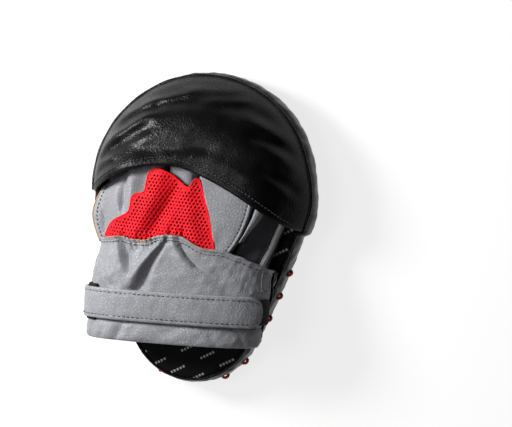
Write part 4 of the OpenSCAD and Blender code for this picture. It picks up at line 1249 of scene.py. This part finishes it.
def build_cuff():
    s, u = np.meshgrid(np.linspace(0, 180, 240), 1 - np.linspace(1, 0, 64) ** 1.35)
    a = 180 - s
    points = cuff_skin(s, mix(cuff_seam_y(a) - 1.0, hem_wave(s), u))
    cuff = sheet_piece("cuff_leather", folded_edge(points, 1.1, 2.6), GREY, 1.2, 2.2)
    wear(cuff, "cuff_panel")
    raw = []
    for x0, x1 in ((-72, -50), (-45, -26), (6, 24)):
        raw_s = 180 - direction(np.linspace(x0, x1, 50), HEM_MID_Y)
        line = cuff_skin(raw_s, hem_wave(raw_s) + 0.35) - 0.2 * UP
        raw.append(tube_mesh(line, 0.85 * np.sin(np.linspace(0.12, math.pi - 0.12, 50)) ** 0.4))
    add("hem_raw_edge", joined(raw), RAW_EDGE)
    inside_y = mix(cuff_seam_y(a) + 0.5, STRAP_Y + STRAP_W / 2 + slant_y(a), u)
    inner = cuff_surface(s, inside_y, 2.4)[::2, ::3]
    lining = wear(sheet_piece("cuff_cloth", inner, LINING, CLOTH * 0.8), "cuff_lining")
    hem_s = np.linspace(4, 150, 700)
    return stitches(*seat(cuff_skin, hem_s, hem_wave(hem_s) - 3.4, 0.15), 3.8, 2.6)


def roll_section(a, f):
    """Point of the padded roll: a round the cuff, f round its own section."""
    lean = 4 * np.cos(f)
    dip = (1.9 * bump(a + lean, 119, 3.5) + 0.9 * bump(a - lean, 64, 4) + 1.0 * bump(a + lean, 147, 5)
           + 0.8 * bump(a - 2 * lean, 38, 4) + 0.7 * bump(a + 2 * lean, 92, 5))
    crinkle = 0.45 * wander(a, 14 * f, 9, 1.2) + 0.3 * wander(a, 12 * f, 4, 0.4) + 0.5 * bump(a + lean, 127, 4)
    y = cuff_seam_y(a) - ROLL_LEN / 2 + 0.3 + (ROLL_LEN / 2 + 0.4) * spow(np.cos(f), 0.75)
    out = np.where(np.sin(f) > 0, 3.4 - dip + crinkle, 4.6) * spow(np.sin(f), 0.75)
    return cuff_point(180 - a, y, 1.0 - out)


def build_roll():
    rows, n = 150, 28
    a, f = net(np.linspace(180, 0, rows), np.linspace(0, 2 * np.pi, n, endpoint=False))
    closing = np.sqrt(np.clip(1 - np.clip((np.abs(a - 90) - 86) / 4.2, 0, 1) ** 2, 0.03, 1))[..., None]
    points = roll_section(a, f)
    points = mix(points.mean(1, keepdims=True), points, closing)
    faces = [face[::-1] for face in grid_faces(rows, n, True)]
    faces += [list(range(n)), [(rows - 1) * n + k for k in range(n)][::-1]]
    # paler along the roll's outer crest: wear and a painted highlight
    worn_and_highlighted = 0.5 * np.clip(np.sin(f), 0, 1) ** 6
    roll = settle(make_object("cuff_padded_roll", points, faces, GREY, worn_and_highlighted), 0, 1)
    wear(roll, "cuff_roll")


def build_wrist_walls():
    def edge_x(y, side):
        """The cuff's edge, away from the middle on its own side."""
        return arch_half(y) + side * arch_mid(y) - (drawn_in(y) if side > 0 else 0)

    for side, a, end, hem in ((1, 0, "thumb", HEM_THUMB_Y), (-1, 180, "outer", HEM_OUTER_Y)):
        y, t = np.meshgrid(np.linspace(CUFF_END_Y + float(slant_y(a)) + 1, hem, 70), np.linspace(1, 0, 22))
        swell = np.sin(np.pi * t)
        crinkle = (0.9 * np.sin(y / 2.1 + 3 * t + wander(y, 9 * t, 8)) + 0.7 * wander(y, 20 * t, 5, 2.0)) * swell
        x = mix(edge_x(y, side) - 0.6, half_width(y) - EDGE_ROUND / 2, t) + (2.6 + crinkle) * swell
        points = xyz(side * x, y, mix(arch_spring(y) - 0.4, back_z(y) + GAP, t))
        name = "wrist_wall_" + end
        wall = sheet_piece(name, points if side > 0 else points[:, ::-1], BLACK, HIDE * 0.8)
        wear(wall, "wrist_gusset_" + end)
        y = np.linspace(CUFF_END_Y + 10, hem, 80)
        path = xyz(side * (edge_x(y, side) + 0.5 + 0.3 * np.sin(y / 3)), y, arch_spring(y) - 1.2)
        add(name + "_piping", tube_mesh(path, 1.5, 9), BLACK)


def build_tab():
    s, u = np.meshgrid(np.linspace(155, 175, 16), np.linspace(0, 1, 16))
    lift = mix(-0.5, 1.0, smooth((s - 155) / 2.6))[..., None]
    points = cuff_skin(s, hem_y(180 - s) - mix(19, 1.0, u)) + lift * [0.35, 0, 0.55]
    wear(sheet_piece("cuff_sewn_tab", points, GREY, 1.0, 0.1), "cuff_tab")

    def on_tab(s, y):
        return cuff_skin(s, y) + [0.4, 0, 0.75]

    across = np.linspace(157, 173, 60)
    lines = [(across, hem_y(180 - across) - below) for below in (3.2, 17.2)]
    for s in (157.5, 172.5):
        hem = float(hem_y(180 - s))
        lines.append((np.full(60, s), np.linspace(hem - 17, hem - 3, 60)))
    sewn = [stitches(*seat(on_tab, *line), 2.4, 1.7, 0.28) for line in lines]
    add("tab_stitching", joined(sewn), DARK_THREAD)


# Wrist strap

TAPE_LIFT = GAP
HOOK_LIFT = TAPE_LIFT + TAPE_THICK + STRAP_CLEAR
STRAP_LIFT = HOOK_LIFT + TAPE_THICK + GAP
STRAP_TOP = STRAP_LIFT + STRAP_THICK


def ring_point(a, lift):
    """Cross-section of the cuff under the strap."""
    return CUFF_MID + (CUFF_W / 2 + lift) * arch_cos(a), SPRING_Z + (CUFF_RISE + lift) * arch_sin(a)


def strap_y(x):
    return STRAP_Y + SLANT * x


def strap_path(a_from, a_to, reach, top, foot, step):
    """Even stations along the strap: x and z on the cuff's outside, and the outward direction there."""
    a = np.linspace(a_from, a_to, 900)
    line = np.stack(ring_point(a[ring_point(a, top)[0] <= reach], 0.0), -1)
    if foot:
        line = np.concatenate([line[:1] - [0, foot], line])
    line = resample(line, step)
    ahead = unit(np.gradient(line, axis=0))
    return line, np.stack([-ahead[:, 1], ahead[:, 0]], -1)


def band_end(line, half, corner):
    """Half a band's width along its stations, rounded off at the free end."""
    run = run_along(line)
    past = np.clip(corner - (run[-1] - run), 0, corner)
    return half - corner + np.sqrt(corner ** 2 - past ** 2)


def strap_solid(line, out, half, low, high, crown=0.0, groove=0.0, slack=None):
    """Closed band: stations along a path, with a crowned top and a sewn groove inside its edges."""
    # places across the band, close together near its edges
    w = np.array([0.15, 0.4, 0.62, 0.7, 0.78, 0.86, 0.93, 0.985, 1])
    w = np.concatenate([-w[::-1], w])
    from_edge = (1 - np.abs(w))[None] * half[:, None]
    edge = np.exp(-from_edge / 0.5)
    top = high + crown * (1 - w ** 4)[None] - groove * bump(from_edge, STRAP_SEAM, 1.1) - 0.75 * edge
    if slack:
        top = top + slack(line[:, None, 0], w[None])
    lift = np.concatenate([top, (low + 0.3 * edge)[:, ::-1]], 1)
    across = np.concatenate([w, w[::-1]])[None] * half[:, None]
    x, z = (line[:, None, k] + out[:, None, k] * lift for k in (0, 1))
    return xyz(x, strap_y(x) + across, z)


def band_object(name, rings, finish):
    rows, n = rings.shape[:2]
    faces = grid_faces(rows, n, True)
    faces += [[rows * n + k for k in range(n)][::-1], [(rows + 1) * n + k for k in range(n)]]
    worn_and_highlighted = np.zeros((rows + 2, n))
    # paler along both edges of the top: rubbed edges and a painted highlight
    worn_and_highlighted[:, [0, 1, 2, 15, 16, 17]] = (1, 0.9, 0.4, 0.4, 0.9, 1)
    points = np.concatenate([rings, rings[:1], rings[-1:]])
    return make_object(name, points, [f[::-1] for f in faces], finish, worn_and_highlighted)


def tape_band(name, a_from, a_to, low, high, width, reach, corner, finish, foot=0.0):
    path, away = strap_path(a_from, a_to, reach, high, foot, 1.6)
    return band_object(name, strap_solid(path, away, band_end(path, width / 2, corner), low, high), finish)


def build_strap():
    def slack(x, w):
        return 0.25 * np.sin(x / 6.5 + 2 * w) + 0.2 * wander(x, 9 * w, 5)

    line, out = strap_path(180, 0, STRAP_REACH, STRAP_TOP, STRAP_FOOT, STRAP_STEP)
    split = int(np.argmin(np.abs(line[:, 0] - float(ring_point(SPLIT_ANGLE, 0.0)[0]))))
    half = band_end(line, STRAP_W / 2, TIP_ROUND)
    rings = strap_solid(line, out, half, STRAP_LIFT, STRAP_TOP, 0.25, 0.3, slack)
    sewn_length = band_object("strap_sewn_length", rings[:split + 1], GREY)
    free_length = band_object("strap_free_length", rings[split:], GREY)
    # stitches along both edges and across the free end
    x, z = (line + out * (STRAP_TOP + 0.1)).T
    up = xyz(out[:, 0], 0.0, out[:, 1])
    start, stop = 8, len(line) - int(STRAP_END_SEAM / STRAP_STEP)
    end = len(line) - int(STRAP_SEAM / STRAP_STEP)
    sewn_rows, free_rows = [], []
    for side in (-1, 1):
        path = xyz(x, strap_y(x) + side * (half - STRAP_SEAM), z)
        sewn_rows.append(stitches(path[start:split + 1], up[start:split + 1]))
        free_rows.append(stitches(path[split:stop], up[split:stop]))
    end_x = line[end, 0] + out[end, 0] * STRAP_TOP
    cross = xyz(end_x, strap_y(end_x) + np.linspace(-1, 1, 60) * (half[end] - STRAP_END_SEAM), z[end])
    free_rows.append(stitches(cross, up[end]))
    sewn_thread = make_object("strap_sewn_stitching", *joined(sewn_rows), DARK_THREAD)
    free_thread = make_object("strap_free_stitching", *joined(free_rows), DARK_THREAD)
    for obj in (sewn_length, sewn_thread):
        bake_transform(obj)
    for obj in (free_length, free_thread):
        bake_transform(obj)
    for obj, nodes in ((sewn_length, "strap_anchor strap_band"), (free_length, "strap_tip"),
                       (sewn_thread, ""), (free_thread, "")):
        wear(obj, nodes, body=None)
    loop = tape_band("loop_tape_band", 90, 6, TAPE_LIFT, TAPE_LIFT + TAPE_THICK, STRAP_W - 4, STRAP_REACH + 3, 1.0,
                     LOOP_TAPE)
    wear(loop, "loop_patch")
    hook = tape_band("hook_tape_band", FOLD_ANGLE - 12, 4, HOOK_LIFT, HOOK_LIFT + TAPE_THICK, STRAP_W - 4,
                     STRAP_REACH - 2, TIP_ROUND - 2, HOOK_TAPE)
    wear(hook, "hook_patch", body="strap_tip")
    elastic = tape_band("elastic_band", 180, ANCHOR_ANGLE - 4, TAPE_LIFT, STRAP_LIFT - GAP, STRAP_W + 5, STRAP_REACH,
                        1.0, ELASTIC, STRAP_FOOT)
    wear(elastic, "strap_elastic")


def dress_filling():
    """Finishes for the filling layers, which stay as the frame has them."""
    gel, tree, shader = start_finish("gel_sheet", 0.3)
    clouds = node(tree, "ShaderNodeTexNoise", {"Scale": 120.0, "Detail": 4.0}).outputs[0]
    colour = blend_colour(tree, clouds, (0.12, 0.34, 0.28, 1), (0.25, 0.55, 0.46, 1))
    tree.links.new(colour, shader.inputs["Base Color"])
    for name, finish in (("gel_layer", gel), ("face_foam", PAD_FOAM), ("core_foam", PAD_FOAM)):
        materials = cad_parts[name].data.materials
        materials.clear()
        materials.append(finish)


# Camera, floor and light

def build_camera():
    """Camera fitted to the mitt's outline; focal length and aim are in pixels of a 512 x 427 picture."""
    az, el, roll = (math.radians(v) for v in (9.462, 73.083, 3.996))
    focal, aim_x, aim_y, dist = 1495.09, 199.376, 227.574, 1.3
    back = np.array([math.cos(el) * math.cos(az), math.cos(el) * math.sin(az), math.sin(el)])
    ahead = -back
    up = unit(np.array([0.0, 1.0, 0.0]) - ahead * ahead[1])
    right = np.cross(ahead, up)
    right, up = math.cos(roll) * right + math.sin(roll) * up, math.cos(roll) * up - math.sin(roll) * right
    place = 0.03 * UP + back * dist
    aim = unit(ahead + right * (256 - aim_x) / focal - up * (213.5 - aim_y) / focal)
    up = unit(up - aim * (up @ aim))
    right = np.cross(aim, up)
    data = bpy.data.cameras.new("camera")
    data.sensor_width, data.lens = 36.0, 36.0 * focal / 512
    camera = bpy.data.objects.new("camera", data)
    camera.matrix_world = Matrix([[right[k], up[k], -aim[k], place[k]] for k in range(3)] + [[0, 0, 0, 1]])
    scene.collection.objects.link(camera)
    scene.camera = camera


def lamp(name, place, aim, size, watts):
    data = bpy.data.lights.new(name, "AREA")
    data.energy, data.size = watts, size
    obj = bpy.data.objects.new(name, data)
    obj.location = place
    obj.rotation_euler = (Vector(aim) - Vector(place)).to_track_quat("-Z", "Y").to_euler()
    scene.collection.objects.link(obj)


def build_light():
    lamp("key_lamp", (-0.5, 0.19, 0.48), (0, 0, 0.05), 0.22, 8.0)
    lamp("top_lamp", (-0.42, 0.02, 1.4), (0, -0.02, 0.04), 0.4, 3.0)
    world = bpy.data.worlds.new("studio")
    scene.world = world
    world.use_nodes = True
    tree = world.node_tree
    air = tree.nodes["Background"]
    air.inputs["Color"].default_value = (1, 1, 1, 1)
    # white near the floor's level, dim overhead and on the thumb side
    place = node(tree, "ShaderNodeTexCoord").outputs["Generated"]
    x, _, height = node(tree, "ShaderNodeSeparateXYZ", {0: place}).outputs
    fall = ramp(tree, height, 0.14, 0.3, 1.0, 0.1, interpolation_type="SMOOTHSTEP")
    side = ramp(tree, x, 0.0, 0.7, 1.0, 0.25)
    seen = node(tree, "ShaderNodeLightPath").outputs["Is Camera Ray"]
    tree.links.new(times(tree, fall, calc(tree, "MAXIMUM", side, seen)), air.inputs["Strength"])


def build_floor():
    mesh = bpy.data.meshes.new("floor")
    mesh.from_pydata([(-6, -6, 0), (6, -6, 0), (6, 6, 0), (-6, 6, 0)], [], [(0, 1, 2, 3)])
    floor = bpy.data.objects.new("floor", mesh)
    floor.location.z = float(min(cad_low[2], 0.0)) - 0.0004
    mat = bpy.data.materials.new("pale_floor")
    mat.use_nodes = True
    tree = mat.node_tree
    tree.nodes.remove(tree.nodes["Principled BSDF"])
    rays = node(tree, "ShaderNodeLightPath").outputs
    seen = calc(tree, "MAXIMUM", rays["Is Camera Ray"], rays["Is Glossy Ray"])
    seen = calc(tree, "MAXIMUM", seen, rays["Is Transmission Ray"])
    matte = node(tree, "ShaderNodeBsdfDiffuse",
                 {"Color": blend_colour(tree, seen, (0.62, 0.62, 0.62, 1), (0.3, 0.3, 0.3, 1))})
    glow = node(tree, "ShaderNodeEmission", {"Color": (1, 1, 1, 1), "Strength": 0.78})
    dark = node(tree, "ShaderNodeEmission", {"Color": (0, 0, 0, 1), "Strength": 0.0})
    lit = node(tree, "ShaderNodeMixShader", {0: seen, 1: dark.outputs[0], 2: glow.outputs[0]})
    total = node(tree, "ShaderNodeAddShader", {0: matte.outputs[0], 1: lit.outputs[0]})
    tree.links.new(total.outputs[0], tree.nodes["Material Output"].inputs["Surface"])
    mesh.materials.append(mat)
    scene.collection.objects.link(floor)


def main():
    scene.view_settings.view_transform = "Standard"
    build_camera()
    build_light()
    build_floor()
    build_face()
    build_rim()
    build_gusset()
    build_back()
    build_laces()
    build_disc()
    build_hood()
    build_fingers()
    sewn = [build_side_panel()]
    build_mesh()
    build_hem_shade_strip()
    sewn.append(build_cuff())
    add("glove_stitching", joined(sewn + build_hems()), DARK_THREAD)
    build_roll()
    build_wrist_walls()
    build_tab()
    build_strap()
    dress_filling()


main()
